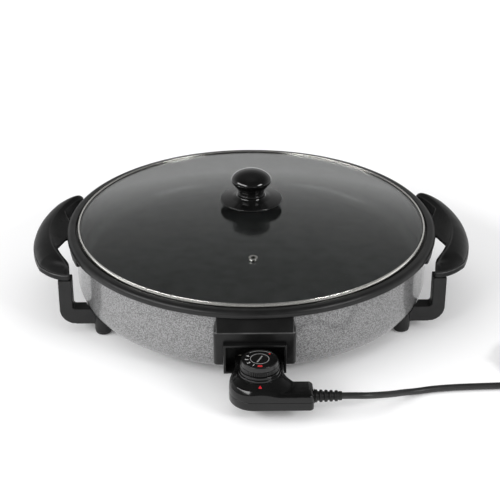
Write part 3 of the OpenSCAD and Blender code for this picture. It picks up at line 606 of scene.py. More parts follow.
class Shader(Graph):
    """A material whose nodes end in a principled shader."""

    def __init__(self, name: str, **sockets: float | Colour) -> None:
        """Starts the material.

        Args:
            name: Name of the material.
            sockets: Even values of the shader's sockets, with _ for a space.
        """
        self.material = bpy.data.materials.new(name)
        self.material.use_nodes = True
        super().__init__(self.material.node_tree)
        self.principled = self.nodes["Principled BSDF"]
        for key, value in sockets.items():
            socket = self.principled.inputs[key.replace("_", " ")]
            socket.default_value = (*value, 1.0) if isinstance(value, tuple) else value
        self.bumped: Port | None = None

    def where(self, stretch: Point3 = (1, 1, 1)) -> Port:
        """Gives the place on the piece in millimetres.

        Args:
            stretch: Scale along each axis.

        Returns:
            The place.
        """
        place = self.node("TexCoord").outputs["Object"]
        scale = tuple(s / MM for s in stretch)
        return self.node("Mapping", {"Vector": place, "Scale": scale}).outputs["Vector"]

    def noise(self, size: float, detail: float = 2.0, stretch: Point3 = (1, 1, 1)) -> Port:
        """Gives soft noise round 0.5, with marks of about the given size."""
        inputs = {"Vector": self.where(stretch), "Scale": 1 / size, "Detail": detail}
        return self.node("TexNoise", inputs).outputs["Fac"]

    def cells(self, size: float) -> Port:
        """Gives the distance from the middle of rounded cells of about the given size."""
        inputs = {"Vector": self.where(), "Scale": 1 / size, "Smoothness": CELL_SOFTNESS}
        return self.node("TexVoronoi", inputs, feature="SMOOTH_F1").outputs["Distance"]

    def shades(self, value: Port, low: Colour, high: Colour, span: Span = NOISE_SPAN) -> None:
        """Colours the surface between two shades, by a value's low and high end."""
        self.feed("Base Color", self.ramp(value, tuple(zip(span, (low, high)))))

    def paint_edge_highlight(self, colour: Colour) -> None:
        """Lightens the colour along sharp outer edges, as a painted highlight where they catch light.

        Args:
            colour: Colour of the painted highlight on the sharpest edges.
        """
        edges = self.node("NewGeometry").outputs["Pointiness"]
        share = self.spread(edges, 0.0, 1.0, HIGHLIGHT_EDGE_SPAN)
        base = self.principled.inputs["Base Color"].links[0].from_socket
        mixed = self.node("MixRGB", {"Fac": share, "Color1": base, "Color2": (*colour, 1.0)})
        self.feed("Base Color", mixed.outputs["Color"])

    def bump(self, height: Port, depth: float) -> None:
        """Adds relief.

        Args:
            height: Height of the relief, from 0 to 1.
            depth: Its full depth.
        """
        made = self.node("Bump", {"Height": height, "Strength": 1.0, "Distance": depth * MM})
        if self.bumped:
            self.links.new(self.bumped, made.inputs["Normal"])
        self.bumped = made.outputs["Normal"]
        self.feed("Normal", self.bumped)

    def feed(self, socket: str, value: Port) -> None:
        """Links a value to one of the shader's sockets."""
        self.links.new(value, self.principled.inputs[socket])


def grey(shade: float) -> Colour:
    """Gives a neutral grey."""
    return (shade, shade, shade)


@dataclass(frozen=True)
class Finish:
    """A surface finish, made once and shared by the pieces that have it."""

    name: str
    slot: str

    def material(self) -> bpy.types.Material:
        """Gives the finish's material, and makes it the first time."""
        return bpy.data.materials.get(self.name) or self.shader().material

    def shader(self) -> Shader:
        """Builds the material's nodes."""
        raise NotImplementedError


@dataclass(frozen=True)
class Moulding(Finish):
    """Moulded plastic, rubber or stoved paint with a fine grain, and where asked a painted highlight along
    sharp edges.
    """

    dark: Colour
    light: Colour
    roughness: float = 0.40
    vary: float = 0.05
    grain: float = 0.5
    depth: float = 0.01
    gloss: float = 0.5
    rubbed: Colour | None = None
    coat: float = 0.0
    coat_roughness: float = 0.08
    patch: float = 14.0
    smear: float = 22.0

    def shader(self) -> Shader:
        """Builds the material's nodes.

        Returns:
            The shader.
        """
        made = Shader(self.name, Coat_Weight=self.coat, Coat_Roughness=self.coat_roughness,
                      Specular_IOR_Level=self.gloss)
        made.shades(made.noise(self.patch, FINE_DETAIL), self.dark, self.light)
        if self.rubbed:
            made.paint_edge_highlight(self.rubbed)
        smear = made.noise(self.smear, FULL_DETAIL)
        made.feed("Roughness", made.spread(smear, self.roughness - self.vary, self.roughness + self.vary))
        made.bump(made.noise(self.grain, PLAIN_DETAIL), self.depth)
        return made


@dataclass(frozen=True)
class Hammered(Finish):
    """Hammered metallic paint: small rounded dimples in mottled grey under a clear coat."""

    dark: Colour = (0.125, 0.125, 0.126)
    light: Colour = (0.365, 0.365, 0.367)
    metallic: float = 0.35
    coat_roughness: float = 0.1
    roughness: Span = (0.36, 0.52)
    dimple: float = 1.3
    dimple_depth: float = 0.22
    dimple_span: Span = (0.2, 0.46)
    mottle_share: float = 0.8
    mottle_depth: float = 0.06
    mottle_shift: float = 0.12

    def shader(self) -> Shader:
        """Builds the material's nodes.

        Returns:
            The shader.
        """
        made = Shader(self.name, Metallic=self.metallic, Coat_Weight=1.0,
                      Coat_Roughness=self.coat_roughness)
        cells = made.cells(self.dimple)
        mottle = made.noise(self.dimple * self.mottle_share, PLAIN_DETAIL)
        mixed = made.node("Math", {0: cells, 1: mottle, 2: self.mottle_shift}, operation="MULTIPLY_ADD")
        made.shades(mixed.outputs[0], self.light, self.dark, self.dimple_span)
        made.feed("Roughness", made.spread(mottle, *self.roughness))
        made.bump(cells, self.dimple_depth)
        made.bump(mottle, self.mottle_depth)
        return made


@dataclass(frozen=True)
class Metal(Finish):
    """Plain, brushed or polished metal."""

    dark: Colour = grey(0.50)
    light: Colour = (0.66, 0.66, 0.65)
    roughness: float = 0.24
    vary: Span = (0.8, 1.3)
    line: float = 0.5
    line_depth: float = 0.006
    stretch: Point3 = (1, 1, 1)

    def shader(self) -> Shader:
        """Builds the material's nodes.

        Returns:
            The shader.
        """
        made = Shader(self.name, Metallic=1.0)
        lines = made.noise(self.line, FINE_DETAIL, self.stretch)
        made.shades(lines, self.dark, self.light)
        made.feed("Roughness", made.spread(lines, *(self.roughness * share for share in self.vary)))
        made.bump(lines, self.line_depth)
        return made


@dataclass(frozen=True)
class Clear(Finish):
    """Clear glass or tinted clear plastic, with a faint film on it."""

    tint: Colour = (0.93, 0.96, 0.95)
    roughness: float = 0.0
    index: float = 1.5
    film: float = 60.0
    film_shade: float = 0.96
    film_roughness: float = 0.02

    def shader(self) -> Shader:
        """Builds the material's nodes.

        Returns:
            The shader.
        """
        made = Shader(self.name, IOR=self.index, Transmission_Weight=1.0)
        film = made.noise(self.film, FULL_DETAIL)
        made.shades(film, tuple(self.film_shade * c for c in self.tint), self.tint)
        made.feed("Roughness", made.spread(film, self.roughness, self.roughness + self.film_roughness))
        return made


@dataclass(frozen=True)
class Print(Finish):
    """Printed marks on the dial."""

    dark: Colour
    light: Colour
    roughness: float = 0.5
    patch: float = 1.2

    def shader(self) -> Shader:
        """Builds the material's nodes.

        Returns:
            The shader.
        """
        made = Shader(self.name, Roughness=self.roughness)
        made.shades(made.noise(self.patch, PLAIN_DETAIL), self.dark, self.light)
        return made


HAMMERED_WALL = Hammered("hammered_wall", "pan_coat")
BAND_PAINT = Moulding("band_paint", "pan_coat", grey(0.005), grey(0.009), gloss=0.36)
NON_STICK = Moulding("non_stick_coat", "pan_coat", grey(0.006), grey(0.016),
                     vary=0.08, grain=0.9, depth=0.02)
CASTING = Moulding("underside_casting", "pan_coat", (0.03, 0.03, 0.031), grey(0.07),
                   roughness=0.6, vary=0.1, grain=1.4, depth=0.08)
HANDLE_BLACK = Moulding("handle_phenolic", "bakelite", grey(0.003), grey(0.006),
                        # The handles' sharp edges are painted lighter: a painted highlight along ridge and
                        # edges.
                        roughness=0.42, depth=0.012, gloss=0.1, rubbed=grey(0.03))
LEG_BLACK = Moulding("leg_phenolic", "bakelite", grey(0.005), grey(0.009),
                     roughness=0.42, depth=0.012, gloss=0.42)
HOOD_BLACK = Moulding("hood_phenolic", "bakelite", grey(0.003), grey(0.006), roughness=0.34, gloss=0.34)
# A lighter finish for edge strips: a painted highlight where the hood's front edge and the grip plates' top
# edges catch light.
EDGE_HIGHLIGHT = Moulding("painted_edge_highlight", "bakelite", grey(0.025), grey(0.075))
KNOB_BLACK = Moulding("knob_gloss", "knob_black", grey(0.003), grey(0.006),
                      roughness=0.12, vary=0.02, depth=0.003)
SHELL_GLOSS = Moulding("controller_gloss", "controller_black", grey(0.003), grey(0.006),
                       roughness=0.15, vary=0.03, grain=0.4, depth=0.004, gloss=0.38)
DIAL_BLACK = Moulding("dial_plastic", "dial_black", grey(0.004), grey(0.008),
                      roughness=0.22, vary=0.04, grain=0.3, depth=0.004)
RUBBER = Moulding("foot_rubber", "pad_rubber", grey(0.014), grey(0.026),
                  roughness=0.7, vary=0.08, grain=0.7, depth=0.04)
CORD_SLEEVE = Moulding("cord_sleeve", "cord_black", grey(0.010), grey(0.018), vary=0.06, grain=0.6)
BOOT_RUBBER = Moulding("boot_rubber", "cord_black", grey(0.004), grey(0.008),
                       roughness=0.42, grain=0.6, gloss=0.34)
# A near-black finish for the thin strip along the ring's inner edge.
RING_DARK_STRIP = Moulding("ring_dark_strip", "lid_steel", grey(0.006), grey(0.012), roughness=0.45, grain=0.6)
CERAMIC = Moulding("ceramic", "ceramic", (0.58, 0.55, 0.48), (0.72, 0.69, 0.62),
                   roughness=0.45, vary=0.08, grain=0.6, depth=0.03)
SWITCH_CASE = Moulding("switch_case", "ceramic", (0.50, 0.46, 0.38), (0.62, 0.58, 0.48),
                       roughness=0.5, vary=0.08, grain=0.6, depth=0.02)
LENS_RED = Moulding("lens_red", "pilot_red", (0.40, 0.008, 0.016), (0.55, 0.015, 0.025),
                    roughness=0.2, vary=0.03, depth=0.004, coat=0.5)
RING_STEEL = Metal("ring_steel", "lid_steel", (0.78, 0.77, 0.73), (0.90, 0.89, 0.85),
                   roughness=0.20, line=0.4, stretch=(1, 1, 6))
SCREW_STEEL = Metal("screw_steel", "steel")
SHEATH = Metal("element_sheath", "element_sheath", (0.16, 0.155, 0.145), (0.30, 0.29, 0.27),
               roughness=0.48, line=1.5)
BRASS = Metal("brass", "brass", (0.60, 0.44, 0.16), (0.74, 0.57, 0.26), roughness=0.3)
LID_CLEAR = Clear("lid_clear", "lid_glass")
LAMP_CLEAR = Clear("lamp_clear", "lamp_glass", (0.95, 0.80, 0.66), roughness=0.05)
MARK_WHITE = Print("mark_white", "dial_black", grey(0.42), grey(0.55))
GREY_PRINT_AND_SHEEN = Print("grey_print_and_sheen", "dial_black", grey(0.20), grey(0.28))
MARK_RED = Print("mark_red", "dial_black", (0.42, 0.008, 0.010), (0.55, 0.015, 0.018))


def dressed(piece: bpy.types.Object, body: Body, finishes: Finish | Sequence[Finish],
            stands_for: Sequence[str] = ()) -> bpy.types.Object:
    """Gives a piece its finishes and its body, and hides the CAD nodes that it stands for.

    Args:
        piece: The piece.
        body: Body that it rides on.
        finishes: Its finish, or one for each mark of its faces.
        stands_for: CAD nodes that it replaces.

    Returns:
        The piece.
    """
    kinds = [finishes] if isinstance(finishes, Finish) else list(finishes)
    if not piece.data.materials:
        painted(piece, kinds)
    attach(piece, body.value)
    if stands_for:
        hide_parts(*stands_for)
    LOG.info("%s rides on %s in %s", piece.name, body.value, kinds[0].name)
    return piece


def painted(piece: bpy.types.Object, finishes: Sequence[Finish]) -> bpy.types.Object:
    """Gives a piece the materials that the marks of its faces pick from.

    Args:
        piece: The piece.
        finishes: One finish for each mark.

    Returns:
        The piece.
    """
    for finish in finishes:
        piece.data.materials.append(finish.material())
    return piece


def kept(finish: Finish, *nodes: str) -> None:
    """Gives CAD nodes that stay as they are a finish.

    Args:
        finish: The finish.
        nodes: Names of the nodes.
    """
    for name in nodes:
        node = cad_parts[name]
        node.data.materials.clear()
        node.data.materials.append(finish.material())
        LOG.info("%s stays, in %s", name, finish.name)


# Studio


@dataclass(frozen=True)
class Softbox:
    """A lamp with a wide face that looks at the pan.

    Its place is an angle from the front to the right and an angle up, in degrees. Its power is in watts.
    """

    name: str
    aside: float
    rise: float
    size: Point2
    power: float


@dataclass
class Studio:
    """Camera, light and floor of the photograph's view.

    The camera's place was worked out from the rim's outline in a picture that is 500 pixels wide. Fill
    and sky are pairs of a direction's height, from 0 at the horizon to 1 overhead, and its brightness.
    """

    picture: float = 500.0
    focal: float = 1375.6
    distance: float = 1600.0
    elevation: float = 26.204
    azimuth: float = -1.0
    rim_pixel: Point2 = (251.28, 220.98)
    sensor: float = 36.0
    floor_size: float = 9000.0
    floor_z: float = -0.4
    paper: Colour = (0.88, 0.88, 0.885)
    paper_roughness: float = 0.9
    paper_gloss: float = 0.1
    paper_grain: float = 3.0
    paper_depth: float = 0.01
    floor_glow: Span = (0.1, 0.7)
    glow_metres: Span = (0.6, 2.4)
    fill: tuple[Point2, ...] = ((0.0, 0.1), (1.0, 1.0))
    sky: tuple[Point2, ...] = ((0.0, 0.5), (0.08, 0.55), (0.2, 0.74), (0.4, 0.42), (0.7, 0.14),
                               (0.9, 0.12), (1.0, 0.24))
    dark_side: Span = (0.35, 1.0)
    dark_from: Span = (-0.3, 0.4)
    lamp_distance: float = 3800.0
    lamp_aim_z: float = 100.0
    lamps: tuple[Softbox, ...] = (Softbox("left_box", -59.0, 30.0, (4000, 760), 100.0),
                                  Softbox("right_box", 52.0, 30.0, (1400, 660), 50.0))

    def build(self) -> None:
        """Makes the camera, the floor, the lamps and the world."""
        bpy.context.scene.view_settings.view_transform = "Standard"
        self.camera()
        self.floor()
        self.world()
        for box in self.lamps:
            self.lamp(box)

    def camera(self) -> None:
        """Places the camera so that the rim's centre falls on its pixel."""
        low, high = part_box("pan")
        target = Vector(((low.x + high.x) / 2, (low.y + high.y) / 2, high.z)) / MM
        a, e = math.radians(self.azimuth), math.radians(self.elevation)
        back = Vector((math.sin(a) * math.cos(e), -math.cos(a) * math.cos(e), math.sin(e)))
        right = Vector((math.cos(a), math.sin(a), 0))
        up = back.cross(right)
        pitch = math.atan((self.picture / 2 - self.rim_pixel[1]) / self.focal)
        yaw = math.atan((self.rim_pixel[0] - self.picture / 2) / self.focal)
        ahead = -back * math.cos(pitch) - up * math.sin(pitch)
        up = up * math.cos(pitch) - back * math.sin(pitch)
        aim = ahead * math.cos(yaw) - right * math.sin(yaw)
        right = right * math.cos(yaw) + ahead * math.sin(yaw)
        data = bpy.data.cameras.new("camera")
        data.sensor_width = self.sensor
        data.lens = self.focal / self.picture * self.sensor
        eye = bpy.data.objects.new("camera", data)
        turn = Matrix((right, up, -aim)).transposed().to_4x4()
        eye.matrix_world = Matrix.Translation((target + back * self.distance) * MM) @ turn
        bpy.context.scene.collection.objects.link(eye)
        bpy.context.scene.camera = eye

    def floor(self) -> None:
        """Lays a pale floor that keeps the shadow and glows for the camera, faintly round the skillet and
        more far off, so it shows white far off; the weaker glow round the skillet is a painted shade.
        """
        half = self.floor_size / 2
        sketch = MeshSketch(Matrix.Translation((0, 0, self.floor_z)))
        sketch.face(sketch.add(level(rectangle(half, -half, half), 0)))
        piece = sketch.piece("floor")
        made = Shader("floor_paper", Base_Color=self.paper, Roughness=self.paper_roughness,
                      Specular_IOR_Level=self.paper_gloss)
        made.bump(made.noise(self.paper_grain), self.paper_depth)
        place = made.node("NewGeometry").outputs["Position"]
        away = made.node("VectorMath", {0: place}, operation="LENGTH").outputs["Value"]
        # The glow grows with distance from the origin, which paints shade on the floor round the skillet on
        # top of its real shadow.
        glow = made.maths("MULTIPLY", made.seen(), made.spread(away, *self.floor_glow, self.glow_metres))
        lit = made.node("Emission", {"Strength": glow})
        both = made.node("AddShader", {0: made.principled.outputs[0], 1: lit.outputs[0]})
        made.links.new(both.outputs[0], made.nodes["Material Output"].inputs["Surface"])
        piece.data.materials.append(made.material)

    def world(self) -> None:
        """Lights the scene softly, white for the camera, and darker overhead for metal and glass."""
        world = bpy.data.worlds.new("studio")
        bpy.context.scene.world = world
        world.use_nodes = True
        made = Graph(world.node_tree)
        way = made.node("SeparateXYZ", {0: made.node("TexCoord").outputs["Generated"]}).outputs
        fill, sky = (made.ramp(way["Z"], [(height, grey(shade)) for height, shade in levels])
                     for levels in (self.fill, self.sky))
        dimmed = made.maths("MULTIPLY", sky, made.spread(way["Y"], *self.dark_side, self.dark_from))
        seen = made.spread(made.seen(), fill, dimmed, (0.0, 1.0))
        strength = made.maths("MAXIMUM", made.node("LightPath").outputs["Is Camera Ray"], seen)
        background = made.nodes["Background"].inputs
        background["Color"].default_value = (1.0, 1.0, 1.0, 1.0)
        made.links.new(strength, background["Strength"])

    def lamp(self, box: Softbox) -> None:
        """Hangs a softbox.

        Args:
            box: Its place, size and power.
        """
        turn, up = math.radians(box.aside), math.radians(box.rise)
        way = Vector((math.sin(turn) * math.cos(up), -math.cos(turn) * math.cos(up), math.sin(up)))
        data = bpy.data.lights.new(box.name, "AREA")
        data.shape = "RECTANGLE"
        data.size = box.size[0] * MM
        data.size_y = box.size[1] * MM
        data.energy = box.power
        lamp = bpy.data.objects.new(box.name, data)
        lamp.rotation_euler = (-way).to_track_quat("-Z", "Y").to_euler()
        lamp.location = (Vector((0, PAN_Y, self.lamp_aim_z)) + way * self.lamp_distance) * MM
        bpy.context.scene.collection.objects.link(lamp)


# Mains lead


@dataclass
class Lead:
    """The mains lead: strain relief, cord, tie and plug."""

    cord_d: float = 7.0
    cord_roundness: int = 6
    boot_l: float = 29.0
    boot_d: float = 13.6
    boot_taper: float = 0.25
    boot_neck_d: float = 10.6
    boot_neck_l: float = 2.5
    boot_end_d: float = 9.4
    boot_end_l: float = 3.0
    boot_sides: int = 64
    boot_ribs: int = 5
    rib_depth: float = 1.7
    rib_shoulder: float = 0.2
    rib_start: float = 0.3
    rib_lead: float = 0.5
    rib_shares: tuple[float, ...] = (0.32, 0.62, 0.72)
    coil_turns: float = 4.25
    coil_r: float = 46.0
    coil_pitch: float = 7.6
    coil_z: float = 4.7
    coil_steps: int = 48
    coil_climb: float = 0.5
    coil_middle: Point2 = (322.0, -137.0)
    tie_edge: float = 0.25
    tie_limit: float = 30.0
    plug_d: float = 38.0
    plug_l: float = 36.0
    plug_back_y: float = -80.0
    plug_boot_l: float = 18.0
    plug_boot_wall: float = 1.2
    plug_sides: int = 96
    plug_ribs: int = 4
    plug_rib_start: Point2 = (1.6, 1.5)
    plug_rib_pitch: float = 4.0
    plug_rib_growth: float = 0.8
    plug_shoulder: tuple[Corner, ...] = ((-7.0, 0.5, 1.0), (-3.0, 4.0, 3.0), (0.0, 10.0, 3.0))
    plug_grooves: int = 4
    plug_groove_start: float = 12.0
    plug_groove_pitch: float = 3.2
    plug_groove_depth: float = 0.8
    plug_groove_w: float = 0.6
    plug_face_edge: float = 3.5
    plug_face_depth: float = 0.05
    crease: float = 50.0
    run: list[Point3] = field(default_factory=lambda: [
        (100, -229.5, 24), (114, -227.5, 22.5), (128, -220.5, 18.5), (142, -210.5, 13), (156, -200, 7.8),
        (170, -193, 4.6), (186, -188.5, 4), (204, -186, 4), (224, -184.5, 4), (244, -183.5, 4),
        (264, -183, 4.2), (284, -183, 4.6)])
    tail: list[Point3] = field(default_factory=lambda: [
        (368, -122, 12.5), (368, -112, 13.4), (368, -100, 16.5), (368, -90, 18.6)])

    def __post_init__(self) -> None:
        """Takes the point where the cord leaves the strain relief from the frame."""
        boot = middle("strain_relief")
        self.exit = Vector((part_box("strain_relief")[1].x / MM, boot.y, boot.z))

    def build(self) -> None:
        """Makes the cord first, then what is on it."""
        route = self.route()
        cord = self.cord(route)
        pieces = [self.tie(), self.plug_body()]
        pieces += [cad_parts[name] for name in ("plug_pins", "plug_earth_clips")]
        self.strain_relief()
        kept(SCREW_STEEL, "plug_pins")
        kept(BRASS, "plug_earth_clips")

    def coil_point(self, turn: float) -> Vector:
        """Gives a point of the coil, which spirals in, climbs a layer and spirals out.

        Args:
            turn: Turns from the coil's start.

        Returns:
            The point.
        """
        radius = self.coil_r - self.coil_pitch * min(turn, self.coil_turns - turn)
        climbed = (turn - self.coil_turns / 2 + self.coil_climb / 2) / self.coil_climb
        share = min(max(climbed, 0.0), 1.0)
        angle = math.radians(360 * turn - 90)
        x, y = self.coil_middle
        return Vector((x + radius * math.cos(angle), y + radius * math.sin(angle),
                       self.coil_z + self.coil_pitch * share * share * (3 - 2 * share)))

    def route(self) -> list[Vector]:
        """Lays the cord along its free run, round its coil and up to the plug.

        Returns:
            Closely spaced points.
        """
        x, y = self.coil_middle
        first = Vector((x - self.cord_d, y - self.coil_r, self.coil_z))
        last = Vector((x + self.coil_r, y + self.cord_d, self.coil_z + self.coil_pitch))
        back = Vector((last.x, self.plug_back_y, self.plug_d / 2))
        count = round(self.coil_turns * self.coil_steps)
        turns = [self.coil_point(i / self.coil_steps) for i in range(count + 1)]
        run = smoothed([self.exit, *map(Vector, self.run), first, turns[0]])
        tail = smoothed([turns[-1], last, *map(Vector, self.tail), back])
        return [*run[:-1], *turns, *tail[1:]]

    def cord(self, points: Sequence[Vector]) -> bpy.types.Object:
        """Makes the cord as one round curve.

        Args:
            points: Points of its route.

        Returns:
            The piece.
        """
        data = bpy.data.curves.new("cord", "CURVE")
        data.dimensions = "3D"
        data.bevel_depth = self.cord_d / 2 * MM
        data.bevel_resolution = self.cord_roundness
        spline = data.splines.new("POLY")
        spline.points.add(len(points) - 1)
        for knot, point in zip(spline.points, points):
            knot.co = (*(point * MM), 1.0)
        spline.use_smooth = True
        piece = bpy.data.objects.new("mains_cord", data)
        bpy.context.scene.collection.objects.link(piece)
        return dressed(piece, Body.CONTROLLER, CORD_SLEEVE, ("cord_run", "cord_coil", "cord_tail"))

    def tie(self) -> bpy.types.Object:
        """Makes the strap that holds the coil, with rounded edges."""
        piece = bevelled(copied("coil_tie", "coil_strap"), self.tie_edge, 2, self.tie_limit)
        return dressed(piece, Body.CONTROLLER, CORD_SLEEVE, ("coil_tie",))

    def strain_relief(self) -> None:
        """Turns the ribbed strain relief where the cord leaves the arm."""
        tip = self.exit.x
        start = tip - self.boot_l
        neck, end = self.boot_neck_d / 2, self.boot_end_d / 2
        profile: list[Corner] = [(0, start - self.boot_neck_l, 0), (neck, start - self.boot_neck_l, 0),
                                 (neck, start + self.rib_start, 0.2)]
        step = (self.boot_l - self.boot_end_l) / self.boot_ribs
        for i in range(self.boot_ribs):
            crest = self.boot_d / 2 - self.boot_taper * i
            root, shoulder = crest - self.rib_depth, crest - self.rib_shoulder
            left = start + step * i + self.rib_start
            high, falling, last = (left + step * share for share in self.rib_shares)
            profile += [(root, left, 0.4), (shoulder, left + self.rib_lead, 0.6), (crest, high, 1.0),
                        (shoulder, falling, 0.6), (root, last, 0.4)]
        profile += [(end, tip - self.boot_end_l, 0.5), (end, tip, 0.8), (self.cord_d / 2, tip, 0),
                    (0, tip, 0)]
        turned = Matrix.Translation((0, self.exit.y, self.exit.z)) @ Matrix.Rotation(math.pi / 2, 4, "Y")
        sketch = MeshSketch(turned)
        sketch.lathe(filleted(profile, steps=3), self.boot_sides)
        piece = sketch.piece("ribbed_strain_relief", self.crease)
        dressed(piece, Body.CONTROLLER, BOOT_RUBBER, ("strain_relief",))

    def plug_body(self) -> bpy.types.Object:
        """Turns the plug's body, with grip grooves and a ribbed tail.

        Returns:
            The piece.
        """
        half = self.plug_d / 2
        cord = self.cord_d / 2
        boot = self.plug_boot_l
        profile: list[Corner] = [(0, 0, 0), (cord + self.plug_boot_wall, 0, 0.5)]
        for i in range(self.plug_ribs):
            out = cord + self.plug_rib_start[0] + self.plug_rib_growth * i
            low = self.plug_rib_start[1] + self.plug_rib_pitch * i
            profile += [(out, low, 0.3), (out + 0.5, low + 2.4, 0.4), (out - 0.7, low + 2.9, 0.3),
                        (out - 0.5, low + 3.7, 0.3)]
        profile += [(half + out, boot + up, fillet) for out, up, fillet in self.plug_shoulder]
        deep, wide = half - self.plug_groove_depth, self.plug_groove_w
        for i in range(self.plug_grooves):
            low = boot + self.plug_groove_start + self.plug_groove_pitch * i
            profile += [(half, low, 0.3), (deep, low + wide, 0.2), (deep, low + 2 * wide, 0.2),
                        (half, low + 3 * wide, 0.3)]
        face = boot + self.plug_l
        inner, sunk = half - self.plug_face_edge, face - self.plug_face_depth
        profile += [(half, face, 1.2), (inner, face, 0.4), (inner, sunk, 0.2), (0, sunk, 0)]
        back = Vector((self.coil_middle[0] + self.coil_r, self.plug_back_y, half))
        sketch = MeshSketch(Matrix.Translation(back) @ Matrix.Rotation(-math.pi / 2, 4, "X"))
        sketch.lathe(filleted(profile, steps=3), self.plug_sides)
        piece = sketch.piece("plug_moulding", self.crease)
        return dressed(piece, Body.CONTROLLER, CORD_SLEEVE, ("plug_body",))


def smoothed(knots: Sequence[Vector], steps: int = 6) -> list[Vector]:
    """Draws a smooth curve through points.

    Args:
        knots: The points.
        steps: Points on the curve for each stretch.

    Returns:
        The curve's points, both ends included.
    """
    ends = [2 * knots[0] - knots[1], *knots, 2 * knots[-1] - knots[-2]]
    curve = []
    for a, b, c, d in zip(ends, ends[1:], ends[2:], ends[3:]):
        for i in range(steps):
            t = i / steps
            curve.append(0.5 * (2 * b + (c - a) * t + (2 * a - 5 * b + 4 * c - d) * t ** 2
                                + (3 * b - a - 3 * c + d) * t ** 3))
    return [*curve, knots[-1].copy()]


# Pan


@dataclass
class Pan:
    """The cast pan with its rim, wall, floor and skirt, and what is under it."""

    rim_r: float = 213.0
    rim_z: float = 95.0
    rim_round: float = 5.0
    band_z: float = 87.0
    wall_r: float = 203.0
    wall_t: float = 4.5
    floor_top: float = 46.0
    floor_corner: float = 14.0
    floor_under: float = 41.0
    skirt_z: float = 12.0
    skirt_corner: float = 25.0
    skirt_edge: float = 1.0
    seat_r: float = 203.0
    seat_z: float = 91.0
    segments: int = 288
    crease: float = 30.0
    window: Point2 = (22.5, 29.6)
    window_depth: float = 7.0
    window_gap: float = 0.4
    boss: Point2 = (8.0, 90.0)
    boss_round: float = 1.0
    overlap: float = 1.0
    probe_z: float = 35.6
    probe_r: float = 3.75
    probe_end: float = 2.0
    foot: Point2 = (169.0, 88.0)
    post_r: float = 6.0
    post_rise: float = 6.0
    post_round: float = 0.5
    hole_sides: int = 48

    def build(self) -> None:
        """Makes the pan and dresses what is fixed under it."""
        finishes = (HAMMERED_WALL, BAND_PAINT, NON_STICK, CASTING)
        piece = painted(self.shell(), finishes)
        joined(piece, painted(self.bosses(), finishes), Joining.ADD)
        joined(piece, painted(self.socket_hole(), finishes), Joining.CUT)
        dressed(piece, Body.PAN, finishes, ("pan",))
        kept(SHEATH, "heating_element")
        kept(SCREW_STEEL, "terminal_pins", "hood_screws", "handle_screws", "base_screws", "leg_screws",
             "foot_screws")
        kept(CERAMIC, "terminal_insulators")
        kept(RUBBER, "foot_pads")

    def shell(self) -> bpy.types.Object:
        """Turns the pan's shell, with one finish each for wall, rim, inside and underside.

        Returns:
            The shell.
        """
        inner = self.wall_r - self.wall_t
        corner = self.wall_r - self.skirt_corner
        edge = self.skirt_edge
        inside = filleted([(0, self.floor_top, 0), (inner, self.floor_top, self.floor_corner),
                           (inner, self.seat_z, 0.8), (self.seat_r, self.seat_z, 0)], steps=10)
        rim = filleted([(self.seat_r, self.seat_z, 0), (self.seat_r, self.rim_z, 1.5),
                        (self.rim_r, self.rim_z, self.rim_round), (self.rim_r, self.band_z, 1.2),
                        (self.wall_r, self.band_z, 0)], steps=8)
        wall = filleted([(self.wall_r, self.band_z, 0), (self.wall_r, self.skirt_z, self.skirt_corner),
                         (corner, self.skirt_z, 0)], steps=14)
        under = filleted([(corner, self.skirt_z, 0), (corner - edge, self.skirt_z, edge),
                          (corner - edge, self.skirt_z + self.wall_t, edge),
                          (inner, self.skirt_z + self.wall_t, self.skirt_corner - self.wall_t),
                          (inner, self.floor_under, 3), (0, self.floor_under, 0)], steps=10)
        profile = inside[:1]
        marks: list[int] = []
        for mark, stretch in ((PanSkin.INSIDE, inside), (PanSkin.RIM, rim), (PanSkin.WALL, wall),
                              (PanSkin.UNDERSIDE, under)):
            profile += stretch[1:]
            marks += [mark] * (len(stretch) - 1)
        sketch = MeshSketch()
        sketch.lathe(profile, self.segments, marks)
        return sketch.piece("pan_shell", self.crease)

    def bosses(self) -> bpy.types.Object:
        """Makes the block that takes the probe and the posts that take the feet.

        Returns:
            The solids.
        """
        half, length = self.boss
        start = -self.wall_r + self.wall_t / 2
        top = self.floor_under + self.overlap
        sketch = MeshSketch()
        sketch.prism(rectangle(half, start, start + length), self.probe_z - half, top, self.boss_round)
        x, y = self.foot
        for place in ((x, y), (-x, y), (-x, -y), (x, -y)):
            post = circle(place, self.post_r, self.hole_sides)
            sketch.prism(post, self.skirt_z + self.post_rise, top, self.post_round)
        sketch.marks = [PanSkin.UNDERSIDE] * len(sketch.marks)
        return sketch.piece("pan_bosses")

    def socket_hole(self) -> bpy.types.Object:
        """Makes the solid that opens the wall for the terminals and the boss for the probe.

        Returns:
            The solid.
        """
        half, low = self.window
        high = self.floor_under - self.window_gap
        out = -self.wall_r - self.overlap
        sketch = MeshSketch()
        sketch.prism(rectangle(half, out, out + self.window_depth), low, high)
        bore = circle((0, 0), self.probe_r, self.hole_sides)
        ends = (out - self.overlap / 2, out + self.boss[1] - self.probe_end)
        sketch.capped([[(x, y, z + self.probe_z) for x, z in bore] for y in ends])
        sketch.marks = [PanSkin.UNDERSIDE] * len(sketch.marks)
        return sketch.piece("socket_hole")


# Lid


